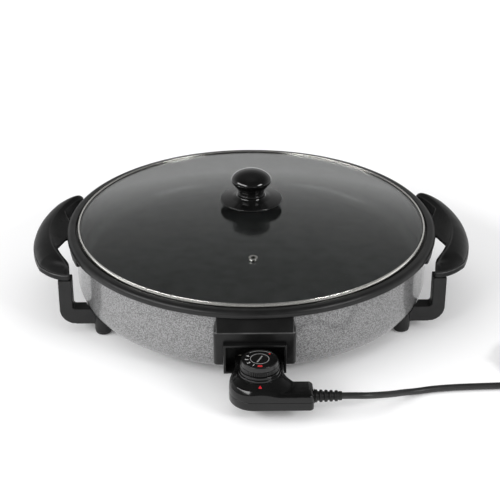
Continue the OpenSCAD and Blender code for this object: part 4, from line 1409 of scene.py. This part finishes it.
@dataclass
class Lid:
    """The loose glass lid with its steel ring, vent, knob and finger guard."""

    radius: float = 201.0
    seat_z: float = 91.0
    ring_h: float = 7.0
    ring_t: float = 0.8
    ring_lip: float = 2.6
    ring_bend: float = 3.2
    ring_steps: int = 320
    seam_angle: float = 85.0
    seam_gap: float = 0.07
    glass_z: float = 92.0
    glass_t: float = 4.0
    glass_gap: float = 0.3
    glass_edge: float = 0.6
    glass_bulge: float = 0.1
    glass_steps: int = 36
    glass_segments: int = 288
    dome_h: float = 21.0
    vent_r: float = 3.4
    vent_reach: float = 12.0
    vent_sides: int = 48
    dark_strip_sink: float = 0.3
    guard_r: float = 36.0
    guard_h: float = 12.3
    guard_foot_r: float = 16.0
    guard_gap: float = 0.2
    knob_r: float = 23.7
    knob_h: float = 29.8
    knob_gap: float = 0.1
    knob_segments: int = 128
    crown: float = 13.0
    crown_from: float = 10.0
    crown_step: float = 4.0
    neck_r: float = 14.4
    belly: float = 12.2
    brim: float = 2.2
    brim_share: float = 0.985
    crease: float = 40.0

    def __post_init__(self) -> None:
        """Works out the glass's radius and the height of the guard's foot."""
        self.edge = self.radius - self.ring_t - self.glass_gap
        self.guard_z = self.glass_z + self.dome_h + self.glass_t + self.guard_gap

    def build(self) -> None:
        """Makes the lid's pieces."""
        self.glass()
        self.ring()
        self.guard()
        self.knob()
        kept(RING_STEEL, "vent_eyelet")
        kept(SCREW_STEEL, "knob_screw")
        kept(BRASS, "knob_insert")
        kept(RUBBER, "knob_washer")

    def dome(self, radius: float, rise: float) -> float:
        """Gives the height of the dome's underside at a radius, raised along its normal."""
        ball = (self.edge ** 2 + self.dome_h ** 2) / (2 * self.dome_h)
        return self.glass_z + self.dome_h - ball + math.sqrt((ball + rise) ** 2 - radius ** 2)

    def glass(self) -> None:
        """Turns the domed glass, pierced for the vent."""
        steps = self.glass_steps
        radii = [self.edge * math.sin(math.pi / 2 * i / steps) for i in range(steps + 1)]
        under = [(r, self.dome(r, 0)) for r in radii]
        over = [(r, self.dome(r, self.glass_t)) for r in radii]
        low, high = under[-1][1], over[-1][1]
        rounded = self.edge - self.glass_edge
        rim = [(rounded, low), (self.edge + self.glass_bulge, (low + high) / 2), (rounded, high)]
        sketch = MeshSketch()
        sketch.lathe([*under[:-1], *rim, *over[-2::-1]], self.glass_segments)
        piece = sketch.piece("lid_dome", self.crease)
        tube = MeshSketch(Matrix.Translation(middle("vent_eyelet")))
        bore, reach = self.vent_r, self.vent_reach
        tube.lathe([(0, -reach), (bore, -reach), (bore, reach), (0, reach)], self.vent_sides)
        joined(piece, tube.piece("vent_cutter"), Joining.CUT)
        dressed(piece, Body.LID, LID_CLEAR, ("lid_glass",))

    def ring(self) -> None:
        """Bends the steel ring round the glass, with its butt seam at the back, and lays a thin dark strip
        along its inner edge on the glass.
        """
        low, top = self.seat_z, self.seat_z + self.ring_h
        out, wall = self.radius, self.ring_t
        inner = out - self.ring_lip
        bend = top - self.ring_bend
        steel = filleted([
            (inner - 2, low, 0.3), (out, low, 0.5), (out, bend, 0.8), (out - 1, top, 0.6),
            (inner + 0.2, top - 0.4, 0.5), (inner, top - 1.3, 0.2), (inner + 0.6, top - 1.3, 0.2),
            (out - 1.5, top - wall, 0.2), (out - wall, bend, 0.3), (out - wall, low + wall, 0.3),
            (inner - 2, low + wall, 0.3)], steps=5, closed=True)
        # A thin dark strip along the ring's inner edge, lying on the glass.
        bed = self.dome(inner, self.glass_t) - self.dark_strip_sink
        dark_strip = filleted([
            (inner - 1.3, bed, 0.1), (inner + 1.5, bed - 0.4, 0.1), (inner + 1.5, top - 1.2, 0.1),
            (inner - 0.5, top - 1.0, 0.5)], steps=4, closed=True)
        start, end = self.seam_angle + self.seam_gap, self.seam_angle + 360 - self.seam_gap
        sketch = MeshSketch()
        for mark, profile in enumerate((steel, dark_strip)):
            sketch.swept(profile, start, end, self.ring_steps, mark)
        piece = sketch.piece("lid_edge_ring", self.crease)
        dressed(piece, Body.LID, (RING_STEEL, RING_DARK_STRIP), ("lid_ring",))

    def guard(self) -> None:
        """Turns the flared finger guard under the knob."""
        low, out, neck = self.guard_z, self.guard_r, self.neck_r
        top = low + self.guard_h
        profile = filleted([
            (0, low, 0), (self.guard_foot_r, low, 1), (out - 3, low + 5.4, 3), (out, low + 5.9, 0.9),
            (out - 0.2, low + 8.2, 1.1), (neck + 8, low + 9.8, 14), (neck + 2.4, top - 1.2, 1.5),
            (neck + 1.8, top, 0.6), (0, top, 0)])
        self.turned("finger_guard", profile, "knob_guard")

    def knob(self) -> None:
        """Turns the mushroom knob with its bead and stepped neck."""
        low = self.guard_z + self.guard_h + self.knob_gap
        wide = low + self.knob_h - self.crown
        neck, out = self.neck_r, self.knob_r
        brim = wide + self.brim
        foot = filleted([
            (0, low, 0), (neck + 1.2, low, 1.1), (neck + 1.2, low + 2.4, 1.1), (neck, low + 2.7, 0.3),
            (neck + 0.1, low + 4.0, 0.2), (neck + 0.7, low + 4.3, 0.3), (neck + 0.8, brim - self.belly, 4.0),
            (out + 0.3, brim - 1.0, 5.0), (out * self.brim_share, brim + 0.2, 0)])
        count = round((90 - self.crown_from) / self.crown_step)
        angles = [math.radians(self.crown_step * i + self.crown_from) for i in range(count)]
        crown = [(out * math.cos(a), wide + self.crown * math.sin(a)) for a in angles]
        self.turned("mushroom_knob", [*foot, *crown, (0, wide + self.crown)], "lid_knob")

    def turned(self, name: str, profile: Sequence[Point2], node: str) -> None:
        """Turns one of the lid's black pieces.

        Args:
            name: Name of the piece.
            profile: Radius and height of each point.
            node: CAD node that it stands for.
        """
        sketch = MeshSketch()
        sketch.lathe(profile, self.knob_segments)
        dressed(sketch.piece(name, self.crease), Body.LID, KNOB_BLACK, (node,))


# Handles and legs


@dataclass
class Handle:
    """One side handle: a crescent grip with a ridge, its web and its flange under the rim."""

    side: Side
    arc_x: float = 70.0
    inner_r: float = 158.0
    ridge_r: float = 163.0
    outer_r: float = 183.0
    end_x: float = 150.0
    end_r: float = 113.0
    end_y: float = 91.0
    end_round: float = 11.0
    end_steps: int = 7
    end_inset: float = 0.6
    end_fall: Point2 = (17.0, 8.0)
    stretches: int = 56
    plate_z: float = 67.0
    plate_gap: float = 0.1
    plate_low_round: float = 2.0
    plate_high_round: float = 1.2
    seam_z: float = 74.0
    lip: float = 2.5
    ledge: float = 1.2
    ridge_z: float = 92.0
    ridge_from_sides: Point2 = (1.5, 2.0)
    ridge_round: Point2 = (0.5, 0.25)
    bulge: float = 0.62
    bulge_steps: int = 8
    hollow: float = 6.5
    hollow_reach: float = 5.0
    hollow_shares: tuple[float, ...] = (0.03, 0.08, 0.16, 0.32, 0.6, 1.0)
    web_under: float = 82.0
    web_least: float = 2.0
    web_overlap: float = 0.01
    web_y: float = 22.0
    web_x: float = 213.0
    web_flare: float = 15.0 / 42.0
    root_x: float = 207.5
    flange_r: Point2 = (203.5, 211.3)
    flange_low: float = 76.9
    flange_top: float = 86.8
    flange_angle: float = 23.0
    flange_end_angle: float = 2.0
    flange_drop: float = 5.0
    flange_steps: int = 40
    grid: float = 0.75
    passes: int = 9

    def build(self) -> None:
        """Makes the handle and the plate that closes it."""
        name = self.side.name.lower()
        mirrored = Matrix.Diagonal((self.side.value, 1, 1, 1))
        sketch = MeshSketch(Matrix.Translation((0, PAN_Y, 0)) @ mirrored)
        sketch.capped([self.section(y) for y in self.stations()])
        sketch.capped(self.flange())
        piece = moulded(sketch.piece(f"{name}_grip"), self.grid, self.passes)
        dressed(piece, Body.PAN, HANDLE_BLACK, (f"{name}_handle",))
        low, high = self.plate_low_round, self.plate_high_round
        # The plate's upper edge rounding is painted lighter: a painted highlight.
        marks = [Mould.PLAIN] * (round_steps(low) + 1) + [Mould.RUBBED] * round_steps(high)
        plate = MeshSketch(sketch.place)
        plate.prism(self.outline(), self.plate_z, self.seam_z - self.plate_gap, low, high, marks)
        piece = plate.piece(f"{name}_grip_plate")
        dressed(piece, Body.PAN, (HANDLE_BLACK, EDGE_HIGHLIGHT), (f"{name}_handle_base",))

    def stations(self) -> list[float]:
        """Gives the places along Y at which the grip's section is drawn.

        Returns:
            The places, closer together at the rounded ends.
        """
        turns = [math.pi / 2 * i / self.end_steps for i in range(self.end_steps + 1)]
        ends = [self.end_y - self.end_round * (1 - math.cos(turn)) for turn in turns]
        inner = ends[-1]
        between = [inner - 2 * inner * i / self.stretches for i in range(1, self.stretches)]
        return [*ends, *between, *(-y for y in reversed(ends))]

    def reach(self, radius: float, y: float) -> float:
        """Gives where one of the grip's arcs is at a place along Y."""
        return self.arc_x + math.sqrt(radius ** 2 - y ** 2)

    def sides(self, y: float) -> Span:
        """Gives the grip's inner and outer side, drawn in at its rounded ends.

        Args:
            y: Place along the grip.

        Returns:
            The two places along X.
        """
        left = self.end_round - min(self.end_y - abs(y), self.end_round)
        inset = self.end_round - math.sqrt(max(self.end_round ** 2 - left ** 2, 0.0))
        outer = min(self.reach(self.outer_r, y), self.end_x + math.sqrt(self.end_r ** 2 - y ** 2))
        return self.reach(self.inner_r, y) + inset * self.end_inset, outer - inset * self.end_inset

    def outline(self) -> list[Point2]:
        """Draws the grip's plan, which the plate under it shares.

        Returns:
            The outline.
        """
        sides = [(y, *self.sides(y)) for y in self.stations()]
        inward = [(inner, y) for y, inner, _ in sides]
        return inward + [(outer, y) for y, _, outer in reversed(sides)]

    def section(self, y: float) -> list[Point3]:
        """Draws the grip's section across X at one place along Y.

        Args:
            y: The place.

        Returns:
            Points of the closed section.
        """
        inner, outer = self.sides(y)
        from_inner, from_outer = self.ridge_from_sides
        ridge = min(max(self.reach(self.ridge_r, y), inner + from_inner), outer - from_outer)
        aside = abs(y) - self.web_y
        web = min(inner, self.web_x + aside * self.web_flare if aside > 0 else self.root_x)
        length, fall = self.end_fall
        way = max(abs(y) - self.end_y + length, 0.0) / length
        top = self.ridge_z - fall * (1 - math.sqrt(max(1 - way ** 2, 0.0)))
        low = self.seam_z + self.lip
        outer -= self.ledge
        points = [(inner, self.seam_z), (outer, self.seam_z)]
        for i in range(self.bulge_steps):
            share = i / self.bulge_steps
            a = math.pi / 2 * share
            chord = (outer + (ridge - outer) * share, low + (top - low) * share)
            full = (ridge + (outer - ridge) * math.cos(a), low + (top - low) * math.sin(a))
            points.append(tuple(c + (f - c) * self.bulge for c, f in zip(chord, full)))
        points.append((ridge + self.ridge_round[0], top - self.ridge_round[1]))
        for share in self.hollow_shares:
            x = ridge + (web - ridge) * share
            points.append((x, top - self.hollow * (1 - math.exp((x - ridge) / self.hollow_reach))))
        under = max(self.seam_z, min(self.web_under, points[-1][1] - self.web_least))
        points += [(web, under), (inner - self.web_overlap, under)]
        return [(x, y, z) for x, z in points]

    def flange(self) -> list[list[Point3]]:
        """Draws the flange's sections round the pan, rounded at its two ends.

        Returns:
            The sections, from one end to the other.
        """
        loops = []
        inner, outer = self.flange_r
        for i in range(self.flange_steps + 1):
            angle = self.flange_angle * (2 * i / self.flange_steps - 1)
            near = min(self.flange_angle - abs(angle), self.flange_end_angle) / self.flange_end_angle
            drop = self.flange_drop * (1 - math.sqrt(1 - (1 - near) ** 2))
            low, out = self.flange_low + drop, outer - drop / 2
            a = math.radians(angle)
            corners = ((inner, low), (out, low), (out, self.flange_top), (inner, self.flange_top))
            loops.append([(r * math.cos(a), r * math.sin(a), z) for r, z in corners])
        return loops


@dataclass
class Legs:
    """The four moulded legs."""

    corners: tuple[str, ...] = ("front_left", "front_right", "rear_left", "rear_right")
    grid: float = 0.75
    passes: int = 8

    def build(self) -> None:
        """Eases the edges of the four legs."""
        for corner in self.corners:
            piece = moulded(copied(f"{corner}_leg", f"{corner}_moulded_leg"), self.grid, self.passes)
            dressed(piece, Body.PAN, LEG_BLACK, (f"{corner}_leg",))


# Socket and controller


@dataclass
class Socket:
    """The hood under the rim and the frame that the controller plugs into."""

    seat_r: float = 203.4
    seat_steps: int = 24
    front: float = 216.0
    half: float = 43.0
    low: float = 34.0
    low_round: float = 1.2
    low_ease: float = 0.35
    corner: float = 4.0
    edge_z: float = 73.6
    edge: float = 2.6
    edge_steps: int = 4
    top: float = 86.9
    top_half: float = 40.6
    top_front: float = 206.0
    top_corner: float = 1.0
    chamfer: float = 0.45
    slope_shares: tuple[float, ...] = (0.07, 0.3, chamfer, chamfer + 0.08, 1.0)
    opening: Point2 = (33.0, 61.3)
    opening_depth: float = 20.0
    cut_out: float = 5.0
    frame_edge: float = 0.5
    frame_crease: float = 40.0

    def build(self) -> None:
        """Makes the hood and the frame."""
        dressed(self.hood(), Body.PAN, (HOOD_BLACK, EDGE_HIGHLIGHT), ("socket_hood",))
        rim = bevelled(copied("socket_frame", "socket_rim"), self.frame_edge, segments=3,
                       limit=self.frame_crease, crease=self.frame_crease)
        dressed(rim, Body.PAN, HOOD_BLACK, ("socket_frame",))

    def plan(self, half: float, front: float, corner: float) -> list[Point2]:
        """Draws the hood's plan, with its back bent to the pan.

        Args:
            half: Half of its width.
            front: Distance of its front from the pan's axis.
            corner: Radius of its two front corners.

        Returns:
            The outline, with as many points whatever the sizes.
        """
        back = math.sqrt(self.seat_r ** 2 - half ** 2)
        face = filleted([(-half, -back, 0), (-half, -front, corner), (half, -front, corner),
                         (half, -back, 0)])
        turn = math.degrees(math.asin(half / self.seat_r))
        return face + arc((0, 0), self.seat_r, turn - 90, -turn - 90, self.seat_steps)[1:-1]

    def hood(self) -> bpy.types.Object:
        """Stacks the hood's plans up its face, round its edge and up its slope, and cuts its opening.

        Returns:
            The hood.
        """
        bend = self.edge_z - self.edge
        levels = [(self.low_round, self.low), (self.low_ease, self.low + self.low_ease),
                  (0.0, self.low + self.low_round), (0.0, bend - self.low_round), (0.0, bend)]
        # The strips round the hood's front edge are painted lighter: a painted highlight.
        rubbed = range(len(levels), len(levels) + self.edge_steps - 1)
        slope = math.atan2(self.top - self.edge_z, self.front - self.top_front)
        for i in range(1, self.edge_steps + 1):
            a = (math.pi / 2 - slope) * i / self.edge_steps
            levels.append((self.edge * (1 - math.cos(a)), self.edge_z - self.edge * (1 - math.sin(a))))
        loops = [level(self.plan(self.half - inset, self.front - inset, self.corner), height)
                 for inset, height in levels]
        inset, start = levels[-1]
        for share in self.slope_shares:
            way = min(share / self.chamfer, 1.0)
            half = self.half - inset + (self.top_half - self.half + inset) * way
            front = self.front - inset + (self.top_front - self.front + inset) * share
            corner = self.corner + (self.top_corner - self.corner) * way
            loops.append(level(self.plan(half, front, corner), start + (self.top - start) * share))
        marks = [Mould.RUBBED if k in rubbed else Mould.PLAIN for k in range(len(loops) - 1)]
        sketch = MeshSketch()
        sketch.capped(loops, marks)
        half, high = self.opening
        cutter = MeshSketch()
        cutter.prism(rectangle(half, -self.front - self.cut_out, -self.seat_r + self.opening_depth),
                     self.low - self.cut_out, high)
        finishes = (HOOD_BLACK, EDGE_HIGHLIGHT)
        hood = painted(sketch.piece("moulded_hood"), finishes)
        return joined(hood, painted(cutter.piece("hood_cutter"), finishes), Joining.CUT)


@dataclass
class Controller:
    """The plug-in thermostat controller's two shells and what is inside.

    The rolled edge of the cover is a row of short stretches, each with its lean from upright in degrees
    and its length.
    """

    front: float = -275.0
    rear: float = -222.3
    rear_corner: float = 1.0
    left: float = -26.0
    right: float = 30.0
    corner: float = 26.0
    corner_steps: int = 18
    longest_side: float = 2.5
    waist: float = 6.5
    bulge: float = 12.0
    low: float = 15.0
    split: float = 25.0
    split_gap: float = 0.15
    cut_out: float = 1.0
    shell_t: float = 2.0
    tray_round: float = 1.6
    tray_lip: float = 0.4
    tray_inner_round: float = 0.6
    wall_top: float = 34.0
    hump_top: float = 42.0
    edge: tuple[Point2, ...] = ((6, 1.0), (11, 3.2), (26, 0.25), (38, 0.4), (42, 0.9), (46, 0.9),
                                (50, 0.9), (56, 0.3), (63, 0.25))
    flat_r: float = 22.6
    flat_right: float = 27.0
    slope: float = 13.0
    slope_steps: int = 16
    soft_end: float = 0.12
    heart: Point2 = (10.0, -255.0)
    halvings: int = 24
    neck_left: float = -20.8
    neck_right: float = 29.7
    neck_low: float = 30.0
    neck_end: float = -208.8
    neck_overlap: float = 2.0
    neck_corner: float = 3.0
    neck_drop: float = 0.02
    neck_round: Point2 = (1.0, 1.4)
    arm_right: float = 59.0
    arm_rear: float = -246.0
    arm_rear_top: float = 34.6
    arm_corner: float = 5.0
    arm_fillet: float = 9.0
    dial: Point2 = (4.3, -243.0)
    step_h: float = 2.8
    step_r: Point2 = (22.0, 20.5)
    step_root: float = 1.5
    step_round: float = 0.8
    step_inner_round: float = 0.3
    step_sides: int = 96
    lens_y: float = -269.0
    lens_r: float = 2.35
    lens_corner: float = 0.4
    lens_z: Span = (-2.5, 0.45)
    lens_round: float = 0.3

    def build(self) -> None:
        """Makes the two shells and dresses what they hold."""
        cover = self.cover(0.0, self.split)
        joined(cover, self.cover(self.shell_t, self.split - self.cut_out), Joining.CUT)
        joined(cover, self.neck(), Joining.ADD)
        joined(cover, self.step_rings(), Joining.ADD)
        dressed(cover, Body.CONTROLLER, SHELL_GLOSS, ("controller_top",))
        dressed(self.tray(), Body.CONTROLLER, SHELL_GLOSS, ("controller_base",))
        dressed(self.lens(), Body.CONTROLLER, LENS_RED, ("pilot_lens",))
        kept(SCREW_STEEL, "controller_screws", "spindle_clip", "probe_tube", "cord_clamp", "clamp_screws")
        kept(BRASS, "contact_sockets", "switch_leaf")
        kept(SWITCH_CASE, "thermostat_switch")
        kept(LAMP_CLEAR, "pilot_lamp")

    def plan(self, inset: float = 0.0) -> list[Point2]:
        """Draws the plan of both shells with the arm.

        Args:
            inset: How far inside the shells' skin to stay.

        Returns:
            The outline.
        """
        left, right, end = self.left + inset, self.right - inset, self.arm_right - inset
        front, rear, arm_rear = self.front + inset, self.rear - inset, self.arm_rear - inset
        corner, fillet = self.arm_corner - inset, self.arm_fillet + inset
        outline = filleted([
            (left - self.bulge, front, self.corner - inset), (end, front, corner),
            (end, arm_rear, corner), (right, arm_rear, fillet), (right, rear, self.rear_corner),
            (left + self.waist, rear, self.rear_corner)], self.corner_steps, closed=True)
        return divided(outline, self.longest_side)

    def off_flat(self, x: float, y: float) -> float:
        """Gives the distance of a place in plan from the flat round the dial and before the neck.

        Args:
            x: Place across the controller.
            y: Place along it.

        Returns:
            The distance, which is 0 on the flat.
        """
        round_dial = math.hypot(x - self.dial[0], y - self.dial[1]) - self.flat_r
        aside = max(self.neck_left - x, x - self.flat_right, 0.0)
        ahead = max(self.dial[1] - y, y - self.rear, 0.0)
        return max(min(round_dial, math.hypot(aside, ahead)), 0.0)

    def top(self, x: float, y: float) -> float:
        """Gives the cover's height, which falls in one sweep from the flat to the edge and the arm.

        Args:
            x: Place across the controller.
            y: Place along it.

        Returns:
            The height.
        """
        share = min((y - self.front) / (self.arm_rear - self.front), 1.0)
        low = self.wall_top + (self.arm_rear_top - self.wall_top) * share
        way = min(self.off_flat(x, y) / self.slope, 1.0)
        soft = self.soft_end
        if way < soft:
            fall = way ** 2 / (2 * soft)
        elif way <= 1 - soft:
            fall = way - soft / 2
        else:
            fall = 1 - soft - (1 - way) ** 2 / (2 * soft)
        return low + (self.hump_top - low) * (1 - fall / (1 - soft))

    def on_flat(self, point: Point2) -> Vector:
        """Finds where the line from a place in plan to the heart of the cover meets the flat.

        Args:
            point: The place.

        Returns:
            The point on the flat's edge.
        """
        inside, outside = Vector(self.heart), Vector(point)
        for _ in range(self.halvings):
            half = (inside + outside) / 2
            if self.off_flat(*half) > 0:
                outside = half
            else:
                inside = half
        return inside

    def cover(self, thick: float, low: float) -> bpy.types.Object:
        """Stacks the cover from its wall, round its edge and up its sweep to the flat.

        Args:
            thick: How far inside the cover's skin to stay.
            low: Height of its underside.

        Returns:
            The solid.
        """
        outline = self.plan(thick)
        rise = sum(length * math.cos(math.radians(lean)) for lean, length in self.edge)
        loops = [level(outline, low)]
        inset, climb = 0.0, 0.0
        for lean, length in ((0, 0), *self.edge):
            inset += length * math.sin(math.radians(lean))
            climb += length * math.cos(math.radians(lean))
            plan = drawn_in(outline, inset)
            loops.append([(x, y, self.top(x, y) - thick - rise + climb) for x, y in plan])
        rim = [Vector(p[:2]) for p in loops[-1]]
        flat = [self.on_flat(p) for p in rim]
        for i in range(1, self.slope_steps + 1):
            places = [r.lerp(f, i / self.slope_steps) for r, f in zip(rim, flat)]
            loops.append([(p.x, p.y, self.top(p.x, p.y) - thick) for p in places])
        sketch = MeshSketch()
        sketch.capped(loops)
        return sketch.piece("controller_cover")

    def neck(self) -> bpy.types.Object:
        """Raises the neck that goes into the socket.

        Returns:
            The solid.
        """
        left, right, corner = self.neck_left, self.neck_right, self.neck_corner
        start, end = self.rear - self.neck_overlap, self.neck_end
        outline = filleted([(left, start, 0), (right, start, 0), (right, end, corner),
                            (left, end, corner)], closed=True)
        sketch = MeshSketch()
        sketch.prism(outline, self.neck_low, self.hump_top - self.neck_drop, *self.neck_round)
        return sketch.piece("controller_neck")

    def step_rings(self) -> bpy.types.Object:
        """Turns the two steps under the dial.

        Returns:
            The solid.
        """
        wide, narrow = self.step_r
        root = self.hump_top - self.step_root
        first, second = self.hump_top + self.step_h, self.hump_top + 2 * self.step_h
        profile = filleted([(0, root, 0), (wide, root, 0), (wide, first, self.step_round),
                            (narrow, first, self.step_inner_round), (narrow, second, self.step_round),
                            (0, second, 0)], steps=4)
        sketch = MeshSketch(Matrix.Translation((self.dial[0], self.dial[1] + PAN_Y, 0)))
        sketch.lathe(profile, self.step_sides)
        return sketch.piece("controller_steps")

    def tray(self) -> bpy.types.Object:
        """Makes the lower shell, open at its top.

        Returns:
            The shell.
        """
        sketch = MeshSketch()
        sketch.prism(self.plan(), self.low, self.split - self.split_gap, self.tray_round, self.tray_lip)
        hollow = MeshSketch()
        hollow.prism(self.plan(self.shell_t), self.low + self.shell_t, self.split + self.cut_out,
                     self.tray_inner_round)
        return joined(sketch.piece("controller_tray"), hollow.piece("tray_hollow"), Joining.CUT)

    def lens(self) -> bpy.types.Object:
        """Makes the pilot light's window, a rounded triangle that follows the sweep.

        Returns:
            The window.
        """
        x, y = self.dial[0], self.lens_y
        tilt = math.atan2(self.top(x, y + 1) - self.top(x, y - 1), 2)
        place = Matrix.Translation((x, y + PAN_Y, self.top(x, y))) @ Matrix.Rotation(tilt, 4, "X")
        corners = [(*p, self.lens_corner) for p in arc((0, 0), self.lens_r, -30, 210, 2)]
        sketch = MeshSketch(place)
        sketch.prism(filleted(corners, steps=4, closed=True), *self.lens_z, high_round=self.lens_round)
        return sketch.piece("pilot_window")


@dataclass
class Dial:
    """The temperature dial with its knurled skirt and printed scale."""

    radius: float = 20.0
    ribs: int = 64
    rib_points: int = 6
    rib_depth: float = 0.9
    rib_from: float = 0.2
    rib_past: float = 0.3
    rib_within: float = 0.5
    skirt: float = 5.0
    face_drop: float = 0.5
    ring_drop: float = 0.2
    pit_drop: float = 0.75
    crease: float = 40.0
    ring_r: float = 9.5
    ring_w: float = 0.7
    scale_r: float = 13.5
    figures: tuple[tuple[str, float], ...] = (("1", -119.0), ("2", -148.0), ("3", -177.0), ("4", 153.0))
    figure_size: float = 4.86
    figure_t: float = 0.05
    figure_weight: float = 0.08
    figure_lift: float = 0.03
    arc_r: float = 15.6
    arc_w: float = 0.55
    arc_span: Span = (131.0, 46.0)
    off_w: float = 3.0
    off_span: Span = (-100.0, -80.0)
    end_w: float = 1.8
    end_inset: float = 1.2
    end_span: Span = (40.0, 46.0)
    band_z: Span = (-0.05, 0.06)
    band_step: float = 4.0
    band_least_steps: int = 6
    bar_angle: float = 65.0
    bar_half: float = 0.7
    bar_inset: float = 3.0
    bar_corner: float = 0.5
    bar_drop: Span = (1.2, 0.3)
    bar_round: float = 0.3

    def __post_init__(self) -> None:
        """Takes the dial's axis and its two heights from the frame."""
        low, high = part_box("dial")
        self.centre = middle("dial")
        self.base = low.z / MM
        self.top = high.z / MM

    def build(self) -> None:
        """Makes the dial and its marks."""
        self.turned()
        self.marks()
        kept(SCREW_STEEL, "dial_spindle")

    def sketch(self) -> MeshSketch:
        """Starts a sketch on the dial's axis."""
        return MeshSketch(Matrix.Translation((self.centre.x, self.centre.y, 0)))

    def turned(self) -> None:
        """Turns the dial, with ribs round its skirt."""
        out, ring, base, top = self.radius, self.ring_r, self.base, self.top
        skirt = base + self.skirt
        face, crest = top - self.face_drop, top - self.ring_drop
        profile = filleted([
            (out - 1.0, base, 0), (out, base + 0.5, 0.4), (out, skirt, 0.3), (out - 0.7, skirt + 0.5, 0.3),
            (out - 1.3, top - 0.2, 0.9), (out - 3.2, top - 0.1, 0.3), (out - 3.5, face, 0.3),
            (ring + 1.0, face, 0.2), (ring + 0.6, crest, 0.2), (ring - 0.8, crest, 0.2),
            (ring - 1.2, top - 0.6, 0.6)], steps=4)
        count = self.ribs * self.rib_points
        loops = [[(0, 0, base)]]
        for radius, height in profile:
            on_skirt = base + self.rib_from < height < skirt + self.rib_past
            ribbed = on_skirt and radius > out - self.rib_within
            depth = self.rib_depth if ribbed else 0.0
            loop = []
            for i in range(count):
                a = 2 * math.pi * i / count
                r = radius - depth * (0.5 - 0.5 * math.cos(self.ribs * a)) ** 2
                loop.append((r * math.cos(a), r * math.sin(a), height))
            loops.append(loop)
        loops.append([(0, 0, top - self.pit_drop)])
        sketch = self.sketch()
        sketch.stack(loops)
        dressed(sketch.piece("temperature_dial", self.crease), Body.DIAL, DIAL_BLACK, ("dial",))

    def marks(self) -> None:
        """Prints the scale: figures, an arc, an inner ring and a red mark for off, and raises a grey centre
        bar, partly a printed pointer line and partly a painted highlight.
        """
        face = self.top - self.face_drop
        lines = self.sketch()
        self.band(lines, self.arc_r, self.arc_w, self.arc_span, face)
        self.band(lines, self.ring_r, self.ring_w, (0, 360), self.top - self.ring_drop)
        dressed(lines.piece("dial_scale_arcs"), Body.DIAL, GREY_PRINT_AND_SHEEN)
        # The raised centre bar is grey partly as a printed pointer line and partly as a painted highlight
        # where light catches it.
        turn = Matrix.Rotation(math.radians(self.bar_angle), 2)
        plan = rectangle(self.ring_r - self.bar_inset, -self.bar_half, self.bar_half)
        corners = [(*(turn @ Vector(p)), self.bar_corner) for p in plan]
        low, high = (self.top - drop for drop in self.bar_drop)
        bar = self.sketch()
        bar.prism(filleted(corners, steps=4, closed=True), low, high, high_round=self.bar_round)
        dressed(bar.piece("dial_centre_bar"), Body.DIAL, GREY_PRINT_AND_SHEEN)
        red = self.sketch()
        self.band(red, self.scale_r, self.off_w, self.off_span, face)
        self.band(red, self.arc_r - self.end_inset, self.end_w, self.end_span, face)
        dressed(red.piece("dial_red_marks"), Body.DIAL, MARK_RED)
        for text, angle in self.figures:
            self.figure(text, angle, face)

    def band(self, sketch: MeshSketch, radius: float, width: float, span: Span, low: float) -> None:
        """Adds a thin printed band to a sketch.

        Args:
            sketch: The sketch.
            radius: Middle radius of the band.
            width: Its width.
            span: First and last angle in degrees.
            low: Height of the surface that it lies on.
        """
        steps = max(self.band_least_steps, round(abs(span[1] - span[0]) / self.band_step))
        inner, outer = radius - width / 2, radius + width / 2
        under, over = (low + z for z in self.band_z)
        sketch.swept([(inner, under), (inner, over), (outer, over), (outer, under)], *span, steps)

    def figure(self, text: str, angle: float, low: float) -> None:
        """Prints one figure with its foot to the rim.

        Args:
            text: The figure.
            angle: Its place on the scale, in degrees.
            low: Height of the surface that it lies on.
        """
        data = bpy.data.curves.new("figure", "FONT")
        data.body = text
        data.size = self.figure_size * MM
        data.align_x = "CENTER"
        data.align_y = "CENTER"
        data.extrude = self.figure_t * MM
        data.offset = self.figure_weight * MM
        written = bpy.data.objects.new("figure", data)
        bpy.context.scene.collection.objects.link(written)
        a = math.radians(angle)
        x, y = arc(self.centre[:2], self.scale_r, angle, angle, 1)[0]
        spot = Vector((x, y, low + self.figure_lift))
        turn = Matrix.Translation(spot * MM) @ Matrix.Rotation(a + math.pi / 2, 4, "Z")
        graph = bpy.context.evaluated_depsgraph_get()
        mesh = bpy.data.meshes.new_from_object(written.evaluated_get(graph))
        mesh.transform(turn)
        bpy.data.objects.remove(written)
        dressed(placed(f"dial_figure_{text}", tidied(mesh)), Body.DIAL, MARK_WHITE)


def main() -> None:
    """Builds the studio and the skillet's sub-assemblies in order."""
    logging.basicConfig(level=logging.INFO, format="%(name)s: %(message)s")
    Studio().build()
    Lead().build()
    Pan().build()
    Lid().build()
    for side in Side:
        Handle(side).build()
    Legs().build()
    Socket().build()
    Controller().build()
    Dial().build()


if __name__ == "__main__":
    main()
